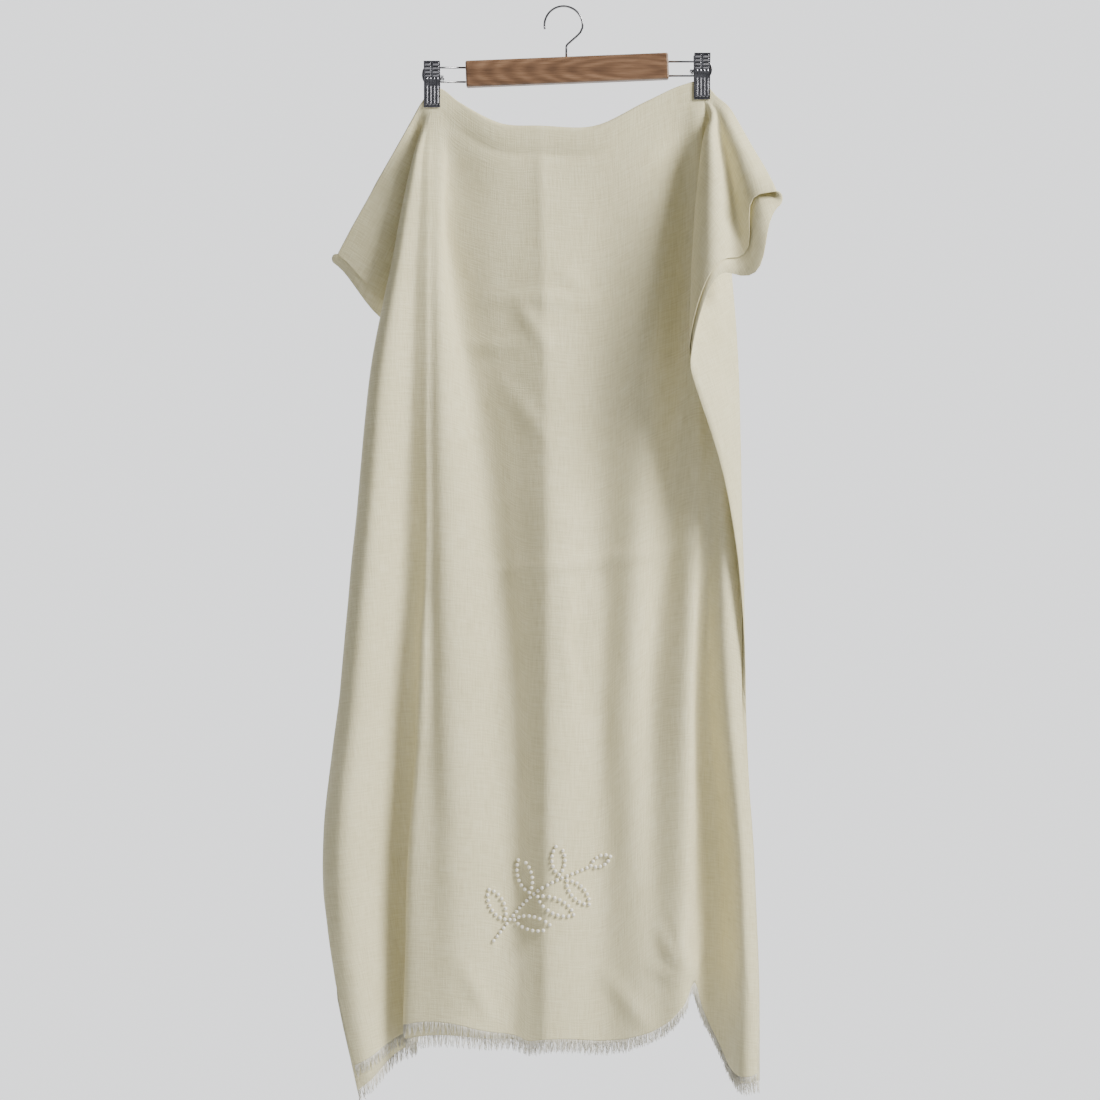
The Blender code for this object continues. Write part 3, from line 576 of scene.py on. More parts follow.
BEAD_RADIUS = 0.0020
BEAD_PITCH = 0.0057
SPRIG_STEM = ((-74, -1004), (-44, -968), (-14, -942), (26, -926))
SPRIG_LEAVES = (
    # Along the stem from 0 to 1, the leaf's direction in degrees, its length and width in mm.
    (0.16, 118, 37, 15),
    (0.20, -8, 40, 15),
    (0.46, 106, 38, 16),
    (0.50, -28, 42, 16),
    (0.76, 92, 32, 14),
    (0.80, -48, 36, 14),
    (1.00, 24, 24, 11),
)


def refined_places():
    """The part's own columns, each split into finer ones."""
    coarse = column_places()
    left_hidden, left_fold = 1 - 43.8 / 90, 1 - 13.3 / 90
    right_fold, right_front = 2 + 16.5 / 90, 2 + 33.5 / 90
    zones = (
        (left_hidden, "outer"), (left_fold, "hidden"), (1, "inner"), (2, "panel"),
        (right_fold, "inner"), (right_front, "hidden"), (3, "outer"),
    )
    places = [coarse[0]]
    for a, b in zip(coarse[:-1], coarse[1:]):
        zone = next(name for limit, name in zones if (a + b) / 2 < limit)
        count = COLUMN_SPLITS[zone] if b - a > 0.008 else 1
        places.extend(np.linspace(a, b, count + 1)[1:])
    return np.array(places)


def row_shares():
    """Rows down a fall, as shares of its length below the clips."""
    rows = []
    for start, end, step in ROW_BANDS:
        rows.extend(np.arange(start, end, step))
    rows = np.array(rows + [ROW_BANDS[-1][1]])
    return rows / rows[-1]


def crease_rise(x, z, creases):
    """How far the creases lift the cloth at points in the front view."""
    total = np.zeros_like(x)
    for crease in creases:
        line = np.array(crease.points, float) * MM
        line[:, 1] *= -1
        steps = np.linalg.norm(np.diff(line, axis=0), axis=1)
        length = steps.sum()
        nearest = np.full_like(x, 9.0)
        share = np.zeros_like(x)
        done = 0.0
        for (ax, az), (bx, bz), step in zip(line[:-1], line[1:], steps):
            t = np.clip(((x - ax) * (bx - ax) + (z - az) * (bz - az)) / step**2, 0, 1)
            away = np.hypot(x - ax - t * (bx - ax), z - az - t * (bz - az))
            closer = away < nearest
            nearest = np.where(closer, away, nearest)
            share = np.where(closer, (done + t * step) / length, share)
            done += step
        taper = np.sin(np.pi * np.clip(share, 0.02, 0.98)) ** 0.6
        total += crease.rise * MM * taper * np.exp(-((nearest / (crease.width * MM)) ** 2))
    return total


def ripple(u, v, seed):
    total = 0.0
    for size, height in RIPPLES:
        total += height * noise.noise(Vector((u / size, v / (size * 2.2), seed + size)))
    return total


def flat_spot(place, level, fall):
    """Where a point of the cloth lies on the flat cut, in metres from its middle."""
    side = 1 if fall == "front" else -1
    half = PANEL_CUT / 2
    if 1 <= place <= 2:
        return (place - 1.5) * PANEL_CUT, -side * level
    angle = math.radians(90 * (1 - place if place < 1 else place - 2))
    sign = -1 if place < 1 else 1
    return sign * (half + level * math.sin(angle)), -side * level * math.cos(angle)


class Cloth:
    """The fine shell: points, flat spots and faces of both falls and of the roll between them."""

    def __init__(self):
        self.drape = Drape(refined_places())
        self.places = self.drape.places
        self.shares = row_shares()
        self.first = int(np.argmin(np.abs(self.places - 1)))
        self.last = int(np.argmin(np.abs(self.places - 2)))
        self.levels = {}
        self.points = {}
        self.normals = {}
        self.make_falls()

    def row_levels(self, place, fall):
        shared = min(hem_level(place, "front"), hem_level(place, "back"))
        low = ROW_BANDS[0][0] * MM
        start = low / (ROW_BANDS[-1][1] * MM)
        shares = (self.shares - start) / (1 - start)
        levels = low + (shared - low) * shares
        levels[-1] = hem_level(place, fall)
        return levels

    def make_falls(self):
        base = {}
        gaps = {}
        for fall in ("front", "back"):
            points, normals, spots, levels, gap = [], [], [], [], []
            for i, place in enumerate(self.places):
                rows = self.row_levels(place, fall)
                levels.append(rows)
                points.append(hermite(self.drape.levels, self.drape.table[:, i], rows))
                found = hermite(self.drape.levels, self.drape.normals[:, i], rows)
                normals.append(found / np.linalg.norm(found, axis=1, keepdims=True))
                spots.append([flat_spot(place, level, fall) for level in rows])
                gap.append([half_gap(place, level) + lift(place, level, fall) for level in rows])
            base[fall] = np.array(points)
            self.normals[fall] = np.array(normals)
            self.levels[fall] = np.array(levels)
            gaps[fall] = np.array(gap)
            self.spots = getattr(self, "spots", {})
            self.spots[fall] = np.array(spots)
        rises = {}
        for fall, creases, seed in (("front", FRONT_CREASES, 3.0), ("back", BACK_CREASES, 11.0)):
            x, z = base[fall][..., 0], base[fall][..., 2]
            side = 1 if fall == "front" else -1
            wide = (self.places[:, None] > 0.86) & (self.places[:, None] < 2.12)
            rise = crease_rise(x, z, creases) * wide
            level = self.levels[fall]
            sure = smoothstep(0.03, 0.12, level)
            waves = np.array([[ripple(*spot, seed) for spot in column] for column in self.spots[fall]])
            rise = rise + waves * sure
            inside = smoothstep(1.02, 1.12, self.places) * (1 - smoothstep(1.88, 1.98, self.places))
            trough = np.exp(-(((level - BAND_LEVEL) / BAND_WIDTH) ** 2))
            swell = np.exp(-(((level - SWELL_LEVEL) / SWELL_WIDTH) ** 2))
            rise = rise + (BAND_SWELL * swell - BAND_TROUGH * trough) * inside[:, None]
            press = np.exp(-np.abs(self.places - 1.5) * PANEL_CUT / PRESS_WIDTH)[:, None]
            rise = rise + side * PRESS_RISE * press * smoothstep(0.0, 0.05, level)
            rises[fall] = rise
        # The two falls rest on each other, so neither crease goes through the other fall.
        closest = SHELL + 0.0004
        space = gaps["front"] + gaps["back"] + rises["front"] + rises["back"]
        short = np.maximum(closest - space, 0) / 2
        for fall in ("front", "back"):
            side = 1 if fall == "front" else -1
            away = gaps[fall] + rises[fall] + short
            self.points[fall] = base[fall] + side * away[..., None] * self.normals[fall]

    def build(self):
        bm = bmesh.new()
        layer = bm.loops.layers.uv.new("cut")
        spots = {}

        def vertex(point, spot):
            made = bm.verts.new(point)
            spots[made] = spot
            return made

        def fan(a, b, out, spot_a, spot_b):
            """Points round the fold between two matching points of the falls."""
            middle = (a + b) / 2
            half = (a - b) / 2
            gap = np.linalg.norm(half)
            made = []
            for k in range(1, ROLL_TURNS):
                t = math.pi * k / ROLL_TURNS
                share = k / ROLL_TURNS
                spot = tuple(spot_a[i] * (1 - share) + spot_b[i] * share for i in (0, 1))
                made.append(vertex(middle + math.cos(t) * half + math.sin(t) * gap * out, spot))
            return made

        verts = {
            fall: [
                [vertex(point, tuple(spot)) for point, spot in zip(column, column_spots)]
                for column, column_spots in zip(self.points[fall], self.spots[fall])
            ]
            for fall in ("front", "back")
        }
        tops = {"front": {}, "back": {}}
        arcs = {}
        front = np.array([0.0, -1.0, 0.0])
        up = np.array([0.0, 0.0, 1.0])
        for i in range(self.first, self.last + 1):
            point = self.drape.point(i, 0.0005)
            gap = half_gap(self.places[i], 0.0)
            across = (self.places[i] - 1.5) * PANEL_CUT
            a, b = point + gap * front, point - gap * front
            tops["front"][i] = vertex(a, (across, -0.0005))
            tops["back"][i] = vertex(b, (across, 0.0005))
            arcs[i] = fan(a, b, up, (across, -0.0005), (across, 0.0005))

        def join(a, b):
            for k in range(len(a) - 1):
                bm.faces.new((a[k], a[k + 1], b[k + 1], b[k]))

        count = len(self.places)
        for fall in ("front", "back"):
            for i in range(count - 1):
                join(verts[fall][i], verts[fall][i + 1])
            for i in range(self.first, self.last):
                join([tops[fall][i], verts[fall][i][0]], [tops[fall][i + 1], verts[fall][i + 1][0]])
            for start, end, top in ((0, self.first, self.first), (self.last, count - 1, self.last)):
                for i in range(start, end):
                    bm.faces.new((tops[fall][top], verts[fall][i][0], verts[fall][i + 1][0]))
        for i in range(self.first, self.last):
            ring_a = [tops["front"][i]] + arcs[i] + [tops["back"][i]]
            ring_b = [tops["front"][i + 1]] + arcs[i + 1] + [tops["back"][i + 1]]
            join(ring_a, ring_b)
        for i, inner, clip in ((0, 1, self.first), (count - 1, count - 2, self.last)):
            rings = [[tops["front"][clip]] + arcs[clip] + [tops["back"][clip]]]
            for row in range(len(self.shares)):
                a, b = self.points["front"][i][row], self.points["back"][i][row]
                out = (a + b - self.points["front"][inner][row] - self.points["back"][inner][row]) / 2
                normal = self.normals["front"][i][row]
                out = unit(out - np.dot(out, normal) * normal)
                middle = fan(a, b, out, self.spots["front"][i][row], self.spots["back"][i][row])
                rings.append([verts["front"][i][row]] + middle + [verts["back"][i][row]])
            for a, b in zip(rings[:-1], rings[1:]):
                join(a, b)
        bmesh.ops.recalc_face_normals(bm, faces=bm.faces)
        for face in bm.faces:
            face.smooth = True
            for loop in face.loops:
                loop[layer].uv = spots[loop.vert]
        mesh = bpy.data.meshes.new("stole")
        bm.to_mesh(mesh)
        bm.free()
        return mesh


def unit(vector):
    return vector / (np.linalg.norm(vector) + 1e-12)


def link(obj):
    bpy.context.scene.collection.objects.link(obj)
    return obj


def applied(obj):
    """Turns the object's modifiers into its mesh."""
    bpy.context.view_layer.update()
    graph = bpy.context.evaluated_depsgraph_get()
    mesh = bpy.data.meshes.new_from_object(obj.evaluated_get(graph))
    obj.modifiers.clear()
    obj.data = mesh
    return obj


class Nodes:
    """A small helper to write node materials."""

    def __init__(self, name):
        self.material = bpy.data.materials.new(name)
        self.material.use_nodes = True
        self.tree = self.material.node_tree
        self.shader = self.tree.nodes["Principled BSDF"]

    def add(self, kind, settings=(), **inputs):
        node = self.tree.nodes.new(kind)
        for key, value in dict(settings).items():
            setattr(node, key, value)
        for key, value in inputs.items():
            self.put(node, key, value)
        return node

    def put(self, node, key, value):
        name = key.replace("_", " ")
        socket = node.inputs[int(key[1:])] if key[0] == "i" and key[1:].isdigit() else node.inputs[name]
        if isinstance(value, bpy.types.NodeSocket):
            self.tree.links.new(value, socket)
        else:
            socket.default_value = value

    def math(self, operation, a, b=0.0):
        node = self.add("ShaderNodeMath", {"operation": operation}, i0=a, i1=b)
        return node.outputs[0]

    def stretched(self, vector, scale):
        node = self.add("ShaderNodeMapping", (), Vector=vector, Scale=scale)
        return node.outputs[0]

    def noise(self, vector, detail=2.0, roughness=0.5):
        node = self.add("ShaderNodeTexNoise", (), Vector=vector, Scale=1.0, Detail=detail, Roughness=roughness)
        return node.outputs["Fac"]

    def ramp(self, fac, stops):
        node = self.add("ShaderNodeValToRGB", (), Fac=fac)
        elements = node.color_ramp.elements
        while len(elements) < len(stops):
            elements.new(0.5)
        for element, (at, colour) in zip(elements, stops):
            element.position = at
            element.color = (*colour, 1.0)
        return node.outputs["Color"]

    def mix(self, fac, a, b, blend="MIX"):
        node = self.add("ShaderNodeMix", {"data_type": "RGBA", "blend_type": blend})
        self.put(node, "i0", fac)
        self.put(node, "i6", a)
        self.put(node, "i7", b)
        return node.outputs[2]

    def bump(self, height, strength, distance, normal=None):
        node = self.add("ShaderNodeBump", (), Height=height, Strength=strength, Distance=distance)
        if normal is not None:
            self.put(node, "Normal", normal)
        return node.outputs["Normal"]

    def surface(self, **inputs):
        for key, value in inputs.items():
            self.put(self.shader, key, value)
        return self.material


def wool_material():
    n = Nodes("cream_wool_weave")
    uv = n.add("ShaderNodeUVMap", {"uv_map": "cut"}).outputs["UV"]
    warp = n.noise(n.stretched(uv, (620, 46, 1)), 2.0)
    weft = n.noise(n.stretched(uv, (46, 620, 1)), 2.0)
    cloud = n.noise(n.stretched(uv, (16, 9, 1)), 3.0)
    fuzz = n.noise(n.stretched(uv, (900, 900, 1)), 2.0)
    threads = n.math("ADD", n.math("MULTIPLY", warp, 0.5), n.math("MULTIPLY", weft, 0.5))
    tint = n.ramp(threads, ((0.34, (0.680, 0.620, 0.385)), (0.5, (0.765, 0.705, 0.455)), (0.66, (0.825, 0.775, 0.535))))
    shade = n.ramp(cloud, ((0.3, (0.93, 0.93, 0.90)), (0.7, (1.0, 1.0, 1.0))))
    colour = n.mix(1.0, tint, shade, "MULTIPLY")
    height = n.math("ADD", threads, n.math("MULTIPLY", fuzz, 0.35))
    normal = n.bump(height, 0.8, 0.0008)
    return n.surface(
        Base_Color=colour, Roughness=0.86, Normal=normal,
        Sheen_Weight=0.25, Sheen_Roughness=0.5, Sheen_Tint=(1.0, 0.97, 0.88, 1.0),
    )


def thread_material():
    n = Nodes("fringe_thread_fibre")
    where = n.add("ShaderNodeTexCoord").outputs["Object"]
    streak = n.noise(n.stretched(where, (900, 900, 120)), 2.0)
    colour = n.ramp(streak, ((0.3, (0.68, 0.65, 0.56)), (0.7, (0.88, 0.86, 0.78))))
    return n.surface(Base_Color=colour, Roughness=0.8, Sheen_Weight=0.2)


def pearl_material():
    n = Nodes("ivory_pearl")
    where = n.add("ShaderNodeTexCoord").outputs["Object"]
    cloud = n.noise(n.stretched(where, (260, 260, 260)), 2.0)
    colour = n.ramp(cloud, ((0.3, (0.90, 0.86, 0.76)), (0.7, (0.96, 0.94, 0.88))))
    return n.surface(Base_Color=colour, Roughness=0.28, Coat_Weight=0.35, Coat_Roughness=0.15)


def wood_material():
    n = Nodes("varnished_wood")
    where = n.add("ShaderNodeTexCoord").outputs["Object"]
    knot = n.add("ShaderNodeMapping", (), Vector=where, Location=(-0.073, 0.0, 0.069), Scale=(1.0, 1.0, 1.0)).outputs[0]
    spread = n.stretched(knot, (16, 60, 75))
    warp = n.noise(n.stretched(where, (7, 120, 140)), 3.0)
    rings = n.add(
        "ShaderNodeTexWave", {"wave_type": "RINGS", "rings_direction": "SPHERICAL"},
        Vector=spread, Scale=0.9, Distortion=3.0, Detail=2.0, Detail_Scale=0.8,
    ).outputs["Fac"]
    pores = n.noise(n.stretched(where, (60, 900, 900)), 3.0)
    figure = n.math("ADD", n.math("MULTIPLY", rings, 0.25), n.math("MULTIPLY", warp, 0.75))
    colour = n.ramp(figure, ((0.25, (0.120, 0.062, 0.032)), (0.5, (0.185, 0.100, 0.054)), (0.75, (0.270, 0.155, 0.088))))
    dark = n.ramp(pores, ((0.35, (0.72, 0.68, 0.62)), (0.55, (1.0, 1.0, 1.0))))
    tone = n.mix(1.0, colour, dark, "MULTIPLY")
    normal = n.bump(pores, 0.25, 0.0003)
    return n.surface(Base_Color=tone, Roughness=0.42, Normal=normal, Coat_Weight=0.15, Coat_Roughness=0.3)


def steel_material(name, dark, light, rough):
    n = Nodes(name)
    where = n.add("ShaderNodeTexCoord").outputs["Object"]
    smear = n.noise(n.stretched(where, (220, 220, 220)), 3.0)
    colour = n.ramp(smear, ((0.3, dark), (0.7, light)))
    gloss = n.add("ShaderNodeMapRange", (), Value=smear, To_Min=rough * 0.8, To_Max=rough * 1.25).outputs[0]
    return n.surface(Base_Color=colour, Metallic=1.0, Roughness=gloss)


def floor_material():
    n = Nodes("pale_floor")
    where = n.add("ShaderNodeTexCoord").outputs["Object"]
    cloud = n.noise(n.stretched(where, (3, 3, 3)), 2.0)
    colour = n.ramp(cloud, ((0.3, (0.80, 0.80, 0.79)), (0.7, (0.83, 0.83, 0.82))))
    return n.surface(Base_Color=colour, Roughness=0.9)


def add_stole(wool):
    cloth = Cloth()
    obj = link(bpy.data.objects.new("stole", cloth.build()))
    obj.data.materials.append(wool)
    shell = obj.modifiers.new("shell", "SOLIDIFY")
    shell.thickness = SHELL
    shell.offset = 0.0
    applied(obj)
    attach(obj, "root")
    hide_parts("stole_cloth")
    return obj, cloth


def hem_points(cloth, fall):
    """The hem of a fall: its points, directions out of the cloth and directions down."""
    low = int(np.argmin(np.abs(cloth.places - corner_place("left", fall))))
    high = int(np.argmin(np.abs(cloth.places - corner_place("right", fall))))
    points = cloth.points[fall][low:high + 1]
    downs = points[:, -1] - points[:, -4]
    downs /= np.linalg.norm(downs, axis=1, keepdims=True)
    return points[:, -1], cloth.normals[fall][low:high + 1, -1], downs


def add_threads(cloth, fall, material):
    """The loose threads of a hem, drawn together in small clumps."""
    rng = random.Random(17 if fall == "front" else 29)
    points, normals, downs = hem_points(cloth, fall)
    length = np.concatenate([[0], np.cumsum(np.linalg.norm(np.diff(points, axis=0), axis=1))])

    def read(values, at):
        return Vector([float(np.interp(at, length, values[:, axis])) for axis in range(3)])

    bm = bmesh.new()
    for k in range(THREADS_A_FALL):
        at = (k + 0.2 + 0.6 * rng.random()) / THREADS_A_FALL * length[-1]
        root, normal, down = read(points, at), read(normals, at).normalized(), read(downs, at).normalized()
        across = down.cross(normal).normalized()
        clump = (math.floor(at / THREAD_CLUMP) + 0.5) * THREAD_CLUMP
        pull = (read(points, min(max(clump, 0), length[-1])) - root).dot(across) * rng.uniform(0.2, 0.9)
        reach = FRINGE_LENGTH * rng.uniform(0.72, 1.0)
        lean = rng.uniform(-0.0012, 0.0012)
        rise = rng.uniform(-0.0010, 0.0010)
        curl = rng.uniform(-0.0009, 0.0009)
        rings = []
        for share in (-0.08, 0.3, 0.65, 0.9):
            drift = across * ((pull + lean) * share**1.3 + curl * math.sin(4.5 * share) if share > 0 else 0.0)
            centre = root + down * reach * share + drift + normal * rise * max(share, 0)
            radius = THREAD_RADIUS * (1 - 0.45 * max(share, 0))
            rings.append([
                bm.verts.new(centre + radius * (math.cos(t) * across + math.sin(t) * normal))
                for t in (0.0, 2 * math.pi / 3, 4 * math.pi / 3)
            ])
        tip = bm.verts.new(root + down * reach + across * (pull + lean + curl * math.sin(4.5)) + normal * rise)
        for a, b in zip(rings[:-1], rings[1:]):
            for i in range(3):
                bm.faces.new((a[i], a[(i + 1) % 3], b[(i + 1) % 3], b[i]))
        for i in range(3):
            bm.faces.new((rings[-1][i], rings[-1][(i + 1) % 3], tip))
        bm.faces.new(rings[0])
    bmesh.ops.recalc_face_normals(bm, faces=bm.faces)
    for face in bm.faces:
        face.smooth = True
    mesh = bpy.data.meshes.new("fringe_threads_" + fall)
    bm.to_mesh(mesh)
    bm.free()
    obj = link(bpy.data.objects.new("fringe_threads_" + fall, mesh))
    mesh.materials.append(material)
    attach(obj, "root")
    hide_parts("fringe_" + fall)
    return obj


def bead_line(points, closed):
    """Evenly spaced places along a line in the front view."""
    line = np.array(points, float)
    if closed:
        line = np.vstack([line, line[:1]])
    length = np.concatenate([[0], np.cumsum(np.linalg.norm(np.diff(line, axis=0), axis=1))])
    count = max(int(round(length[-1] / BEAD_PITCH)), 2)
    at = np.linspace(0, length[-1], count + 1)[: count if closed else count + 1]
    return [(float(np.interp(s, length, line[:, 0])), float(np.interp(s, length, line[:, 1]))) for s in at]


def sprig_spots():
    """Bead places of the leaf sprig in the front view."""
    stem = hermite(np.linspace(0, 1, len(SPRIG_STEM)), np.array(SPRIG_STEM) * MM, np.linspace(0, 1, 40))
    lines = [(stem, False)]
    for along, turn, size, width in SPRIG_LEAVES:
        foot = hermite(np.linspace(0, 1, len(SPRIG_STEM)), np.array(SPRIG_STEM) * MM, np.array([along]))[0]
        turn = math.radians(turn)
        forward = np.array([math.cos(turn), math.sin(turn)])
        aside = np.array([-forward[1], forward[0]])
        outline = []
        for t in np.linspace(0, 2 * math.pi, 60, endpoint=False):
            ahead = 0.5 - 0.5 * math.cos(t)
            wide = math.sin(t) * math.sin(math.pi * ahead) ** 0.25 * 0.5
            outline.append(foot + forward * (size * ahead + 5.0) * MM + aside * wide * width * MM)
        lines.append((outline, True))
    spots = []
    for line, closed in lines:
        for spot in bead_line(line, closed):
            if all(math.dist(spot, other) > BEAD_PITCH * 0.78 for other in spots):
                spots.append(spot)
    return spots


def add_beads(stole, material):
    tree = BVHTree.FromPolygons([v.co for v in stole.data.vertices], [p.vertices for p in stole.data.polygons])
    bm = bmesh.new()
    for k, (x, z) in enumerate(sprig_spots()):
        hit, normal, _, _ = tree.ray_cast(Vector((x, -0.4, z)), Vector((0, 1, 0)))
        if normal.y > 0:
            normal = -normal
        centre = hit + normal * BEAD_RADIUS * 0.86
        matrix = Matrix.Translation(centre) @ Matrix.Rotation(0.7 * k, 4, "Y")
        bmesh.ops.create_uvsphere(bm, u_segments=14, v_segments=9, radius=BEAD_RADIUS, matrix=matrix)
    for face in bm.faces:
        face.smooth = True
    mesh = bpy.data.meshes.new("bead_sprig")
    bm.to_mesh(mesh)
    bm.free()
    obj = link(bpy.data.objects.new("bead_sprig", mesh))
    mesh.materials.append(material)
    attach(obj, "root")
    return obj


def finish_piece(name, bm, material, slot, *nodes):
    """Makes a piece of a bmesh, with its finish, that rides on the body and stands for nodes."""
    bmesh.ops.recalc_face_normals(bm, faces=bm.faces)
    for face in bm.faces:
        face.smooth = True
    mesh = bpy.data.meshes.new(name)
    bm.to_mesh(mesh)
    bm.free()
    mesh.materials.append(material)
    obj = link(bpy.data.objects.new(name, mesh))
    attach(obj, "root")
    if nodes:
        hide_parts(*nodes)
    return obj


def rounded_rib(distance, half_width):
    """Height share of a rounded rib at a distance from its middle line."""
    return 0.5 + 0.5 * math.cos(math.pi * min(distance / half_width, 1.0))


def rib_height(across, height):
    """How far the pressed ribs stand out of a clip's leaf, at a place on its outer face."""
    edge = LEAF_WIDTH / 2 - abs(across)
    if edge < RIB_MARGIN:
        return 0.0
    if height > RIB_SPLIT:
        pitch = (LEAF_PROFILE[-1][1] - RIB_MARGIN - RIB_SPLIT) / CROSS_RIBS
        away = abs((height - RIB_SPLIT) % pitch - pitch / 2)
        inner = smoothstep(0.0009, 0.0016, abs(across))
        outer = smoothstep(RIB_MARGIN, RIB_MARGIN + 0.0007, edge)
        if height > LEAF_PROFILE[-1][1] - RIB_MARGIN:
            return 0.0
        return RIB_RISE * rounded_rib(away, pitch * 0.48) * float(inner * outer)
    if height < RIB_FOOT:
        return 0.0
    span = LEAF_WIDTH - 2 * RIB_MARGIN
    pitch = span / LONG_RIBS
    away = abs((across + span / 2) % pitch - pitch / 2)
    ends = smoothstep(RIB_FOOT, RIB_FOOT + 0.002, height) * (1 - smoothstep(RIB_SPLIT - 0.0018, RIB_SPLIT, height))
    return RIB_RISE * rounded_rib(away, pitch * 0.48) * float(ends)


def add_leaf(side, face, clip, material):
    """One bent leaf of a clip, with ribs pressed into its outer face."""
    outward = -1 if face == "front" else 1
    heights = np.array([row[1] for row in LEAF_PROFILE])
    openings = np.array([row[0] for row in LEAF_PROFILE])
    rows = np.linspace(heights[0], heights[-1], LEAF_ROWS)
    columns = np.linspace(-LEAF_WIDTH / 2, LEAF_WIDTH / 2, LEAF_COLUMNS)
    bm = bmesh.new()
    inner, outer = [], []
    for height in rows:
        opening = float(np.interp(height, heights, openings))
        inner.append([bm.verts.new((clip.x + x, outward * opening, clip.z + height)) for x in columns])
        outer.append([
            bm.verts.new((
                clip.x + x,
                outward * (opening + LEAF_THICKNESS - RIB_RISE * 0.3 + rib_height(x, height)),
                clip.z + height,
            ))
            for x in columns
        ])
    for grid in (inner, outer):
        for a, b in zip(grid[:-1], grid[1:]):
            for i in range(LEAF_COLUMNS - 1):
                bm.faces.new((a[i], a[i + 1], b[i + 1], b[i]))
    rim = [(0, i) for i in range(LEAF_COLUMNS)] + [(j, LEAF_COLUMNS - 1) for j in range(1, LEAF_ROWS)]
    rim += [(LEAF_ROWS - 1, i) for i in range(LEAF_COLUMNS - 2, -1, -1)] + [(j, 0) for j in range(LEAF_ROWS - 2, 0, -1)]
    for (j, i), (q, p) in zip(rim, rim[1:] + rim[:1]):
        bm.faces.new((inner[j][i], inner[q][p], outer[q][p], outer[j][i]))
    node = "clip_" + side + "_" + face
    return finish_piece("leaf_" + side + "_" + face, bm, material, "clip_steel", node)


def tube(name, points, radius, material, slot, node, sides=12):
    """A round wire through the points, with rounded shading and closed ends."""
    bm = bmesh.new()
    points = [Vector(point) for point in points]
    rings = []
    guide = Vector((0, 1, 0))
    for k, point in enumerate(points):
        ahead = (points[min(k + 1, len(points) - 1)] - points[max(k - 1, 0)]).normalized()
        guide = (guide - guide.dot(ahead) * ahead).normalized()
        other = ahead.cross(guide)
        rings.append([
            bm.verts.new(point + radius * (math.cos(t) * guide + math.sin(t) * other))
            for t in np.linspace(0, 2 * math.pi, sides, endpoint=False)
        ])
    for a, b in zip(rings[:-1], rings[1:]):
        for i in range(sides):
            bm.faces.new((a[i], a[(i + 1) % sides], b[(i + 1) % sides], b[i]))
    bm.faces.new(rings[0])
    bm.faces.new(rings[-1])
    return finish_piece(name, bm, material, slot, node)


def arc_points(centre, radius, start, end, count):
    """Points on an upright arc, with angles in degrees from +X towards +Z."""
    turns = np.radians(np.linspace(start, end, count))
    return [(centre[0] + radius * math.cos(t), 0.0, centre[1] + radius * math.sin(t)) for t in turns]


def add_hook(material):
    centre = (HOOK_CENTRE_X, WIRE / 2 - HOOK_RADIUS)
    points = arc_points(centre, HOOK_RADIUS, 180 + HOOK_TIP_TURN, HOOK_SIDE_TURN, 44)
    stem = np.array(HOOK_STEM)
    stem = hermite(np.arange(len(stem)), stem, np.linspace(0, len(stem) - 1, 26))
    points += [(x, 0.0, z) for x, z in stem[1:]]
    points.append((points[-1][0], 0.0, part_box("hanger_hook")[0].z))
    tube("hook_wire", points, WIRE / 2, material, "bright_steel", "hanger_hook", 16)


def add_rail(side, clip, material):
    """The bent wire that carries a clip."""
    sign = -1 if side == "left" else 1
    upper, lower = RAIL_HEIGHTS[side]
    radius = (upper - lower) / 2
    turn = clip.x + sign * (RAIL_PAST_CLIP - radius * RAIL_TURN_SQUASH)
    low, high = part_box("clip_rail_" + side)
    root = high.x if side == "left" else low.x
    bend = []
    for t in np.radians(np.linspace(90, -90, 25)):
        x = turn + sign * radius * RAIL_TURN_SQUASH * math.cos(t)
        bend.append((x, 0.0, (upper + lower) / 2 + radius * math.sin(t)))
    points = [(root, 0.0, upper)] + bend + [(root, 0.0, lower)]
    tube("rail_wire_" + side, points, RAIL_WIRE / 2, material, "bright_steel", "clip_rail_" + side)


def add_coil(side, clip, material):
    """The coil spring between the leaves."""
    inward = 1 if side == "left" else -1
    height = RAIL_HEIGHTS[side][1] + RAIL_WIRE / 2 + SEAT_GAP + SPRING_RADIUS
    middle = clip.x + inward * SPRING_INWARD
    reach = SPRING_RADIUS - COIL_WIRE / 2
    points = []
    for share in np.linspace(0, 1, COIL_TURNS * 14):
        turn = 2 * math.pi * COIL_TURNS * share
        x = middle + (share - 0.5) * (SPRING_LENGTH - COIL_WIRE)
        points.append((x, reach * math.cos(turn), height + reach * math.sin(turn)))
    tube("coil_" + side, points, COIL_WIRE / 2, material, "bright_steel", "clip_" + side + "_spring", 8)


def set_camera():
    data = bpy.data.cameras.new("camera")
    data.sensor_width = 36.0
    data.lens = CAMERA_LENS
    data.clip_end = 60.0
    camera = link(bpy.data.objects.new("camera", data))
    camera.location = (VIEW_MIDDLE[0], -CAMERA_AWAY, VIEW_MIDDLE[1])
    camera.rotation_euler = (math.radians(90), 0.0, 0.0)
    bpy.context.scene.camera = camera


def area_light(name, place, target, size, power, colour=(1.0, 1.0, 1.0)):
    data = bpy.data.lights.new(name, "AREA")
    data.shape = "DISK"
    data.size = size
    data.energy = power
    data.color = colour
    light = link(bpy.data.objects.new(name, data))
    light.location = place
    light.rotation_euler = (Vector(target) - Vector(place)).to_track_quat("-Z", "Y").to_euler()
    return light


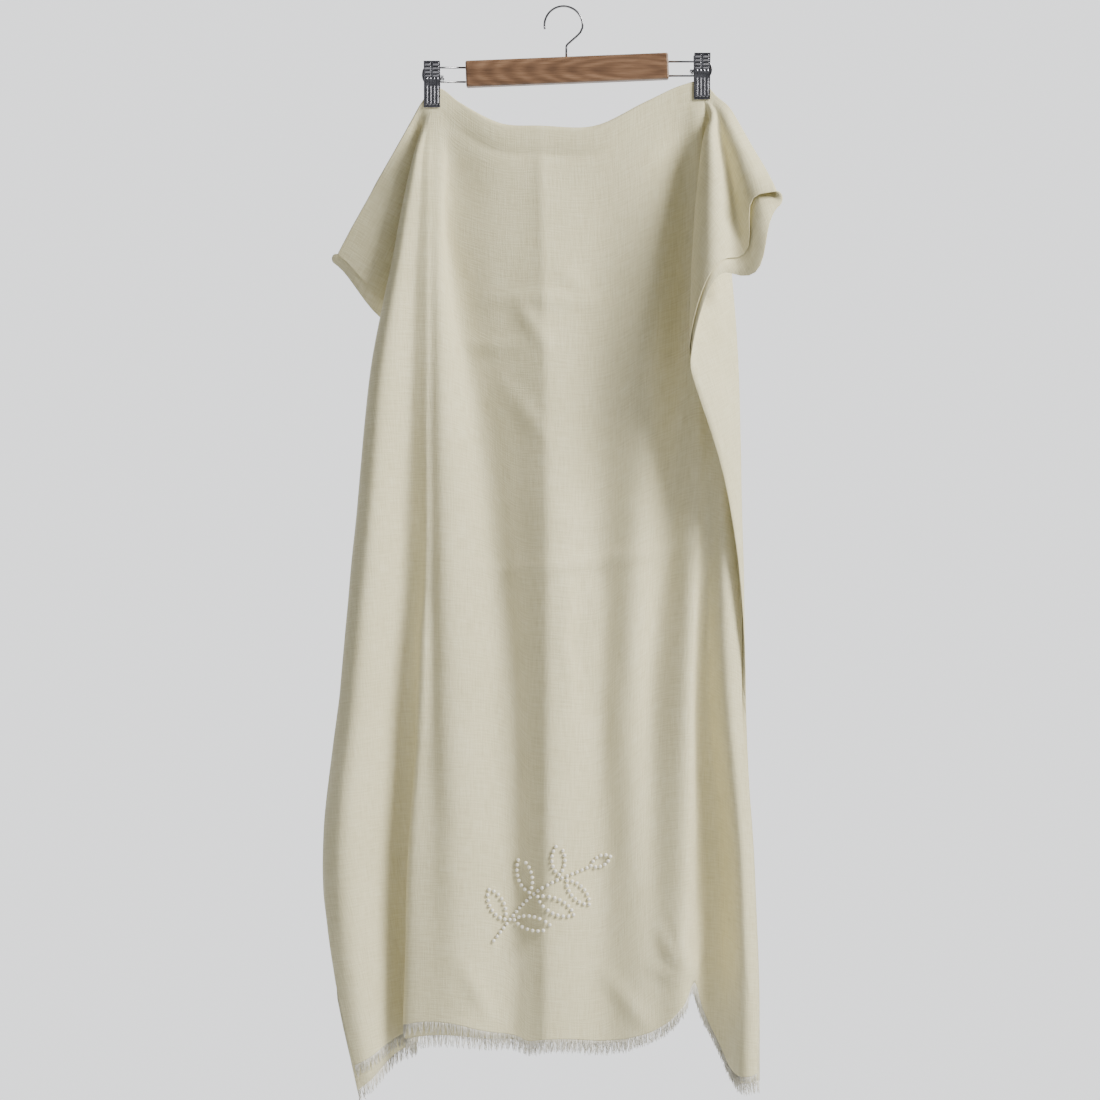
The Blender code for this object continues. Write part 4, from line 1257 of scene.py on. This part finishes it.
def set_stage():
    mesh = bpy.data.meshes.new("floor")
    size = 3.3
    mesh.from_pydata([(-size, -size, 0), (size, -size, 0), (size, size, 0), (-size, size, 0)], [], [(0, 1, 2, 3)])
    floor = link(bpy.data.objects.new("floor", mesh))
    floor.location = (0, 0, FLOOR_HEIGHT)
    mesh.materials.append(floor_material())
    world = bpy.data.worlds.new("studio")
    world.use_nodes = True
    # The studio is brighter behind the stole than in front of it, so that its folds keep their shade.
    tree = world.node_tree
    where = tree.nodes.new("ShaderNodeTexCoord")
    parts = tree.nodes.new("ShaderNodeSeparateXYZ")
    level = tree.nodes.new("ShaderNodeMapRange")
    level.interpolation_type = "SMOOTHSTEP"
    level.inputs["From Min"].default_value = 0.05
    level.inputs["From Max"].default_value = 0.7
    level.inputs["To Min"].default_value = WORLD_FRONT
    level.inputs["To Max"].default_value = WORLD_BEHIND
    tree.links.new(where.outputs["Generated"], parts.inputs[0])
    tree.links.new(parts.outputs["Y"], level.inputs["Value"])
    background = tree.nodes["Background"]
    background.inputs["Color"].default_value = (0.97, 0.98, 1.0, 1.0)
    tree.links.new(level.outputs[0], background.inputs["Strength"])
    bpy.context.scene.world = world
    middle = (0.0, 0.0, -0.6)
    area_light("key", (2.9, -1.9, 1.7), middle, 1.9, 340, (1.0, 0.985, 0.94))
    area_light("fill", (-1.6, -3.4, -0.2), middle, 2.4, 10)
    area_light("back", (-1.8, 2.8, 0.8), middle, 2.0, 10)


VIEW_MIDDLE = (-0.0129, -0.5837)
CAMERA_AWAY = 3.0
CAMERA_LENS = 91.3
FLOOR_HEIGHT = -1.9
WORLD_FRONT = 0.14
WORLD_BEHIND = 1.7

set_camera()
set_stage()
wool = wool_material()
thread = thread_material()
stole, cloth = add_stole(wool)
threads = [add_threads(cloth, fall, thread) for fall in ("front", "back")]
beads = add_beads(stole, pearl_material())
bright = steel_material("bright_plated_steel", (0.20, 0.20, 0.21), (0.30, 0.30, 0.32), 0.2)
dark = steel_material("dark_plated_steel", (0.17, 0.17, 0.19), (0.26, 0.26, 0.29), 0.22)
add_hook(bright)
for side, clip in (("left", CLIP_LEFT), ("right", CLIP_RIGHT)):
    add_rail(side, clip, bright)
    add_coil(side, clip, bright)
    for face in ("front", "back"):
        add_leaf(side, face, clip, dark)
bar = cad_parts["hanger_bar"]
bar.data.materials.clear()
bar.data.materials.append(wood_material())
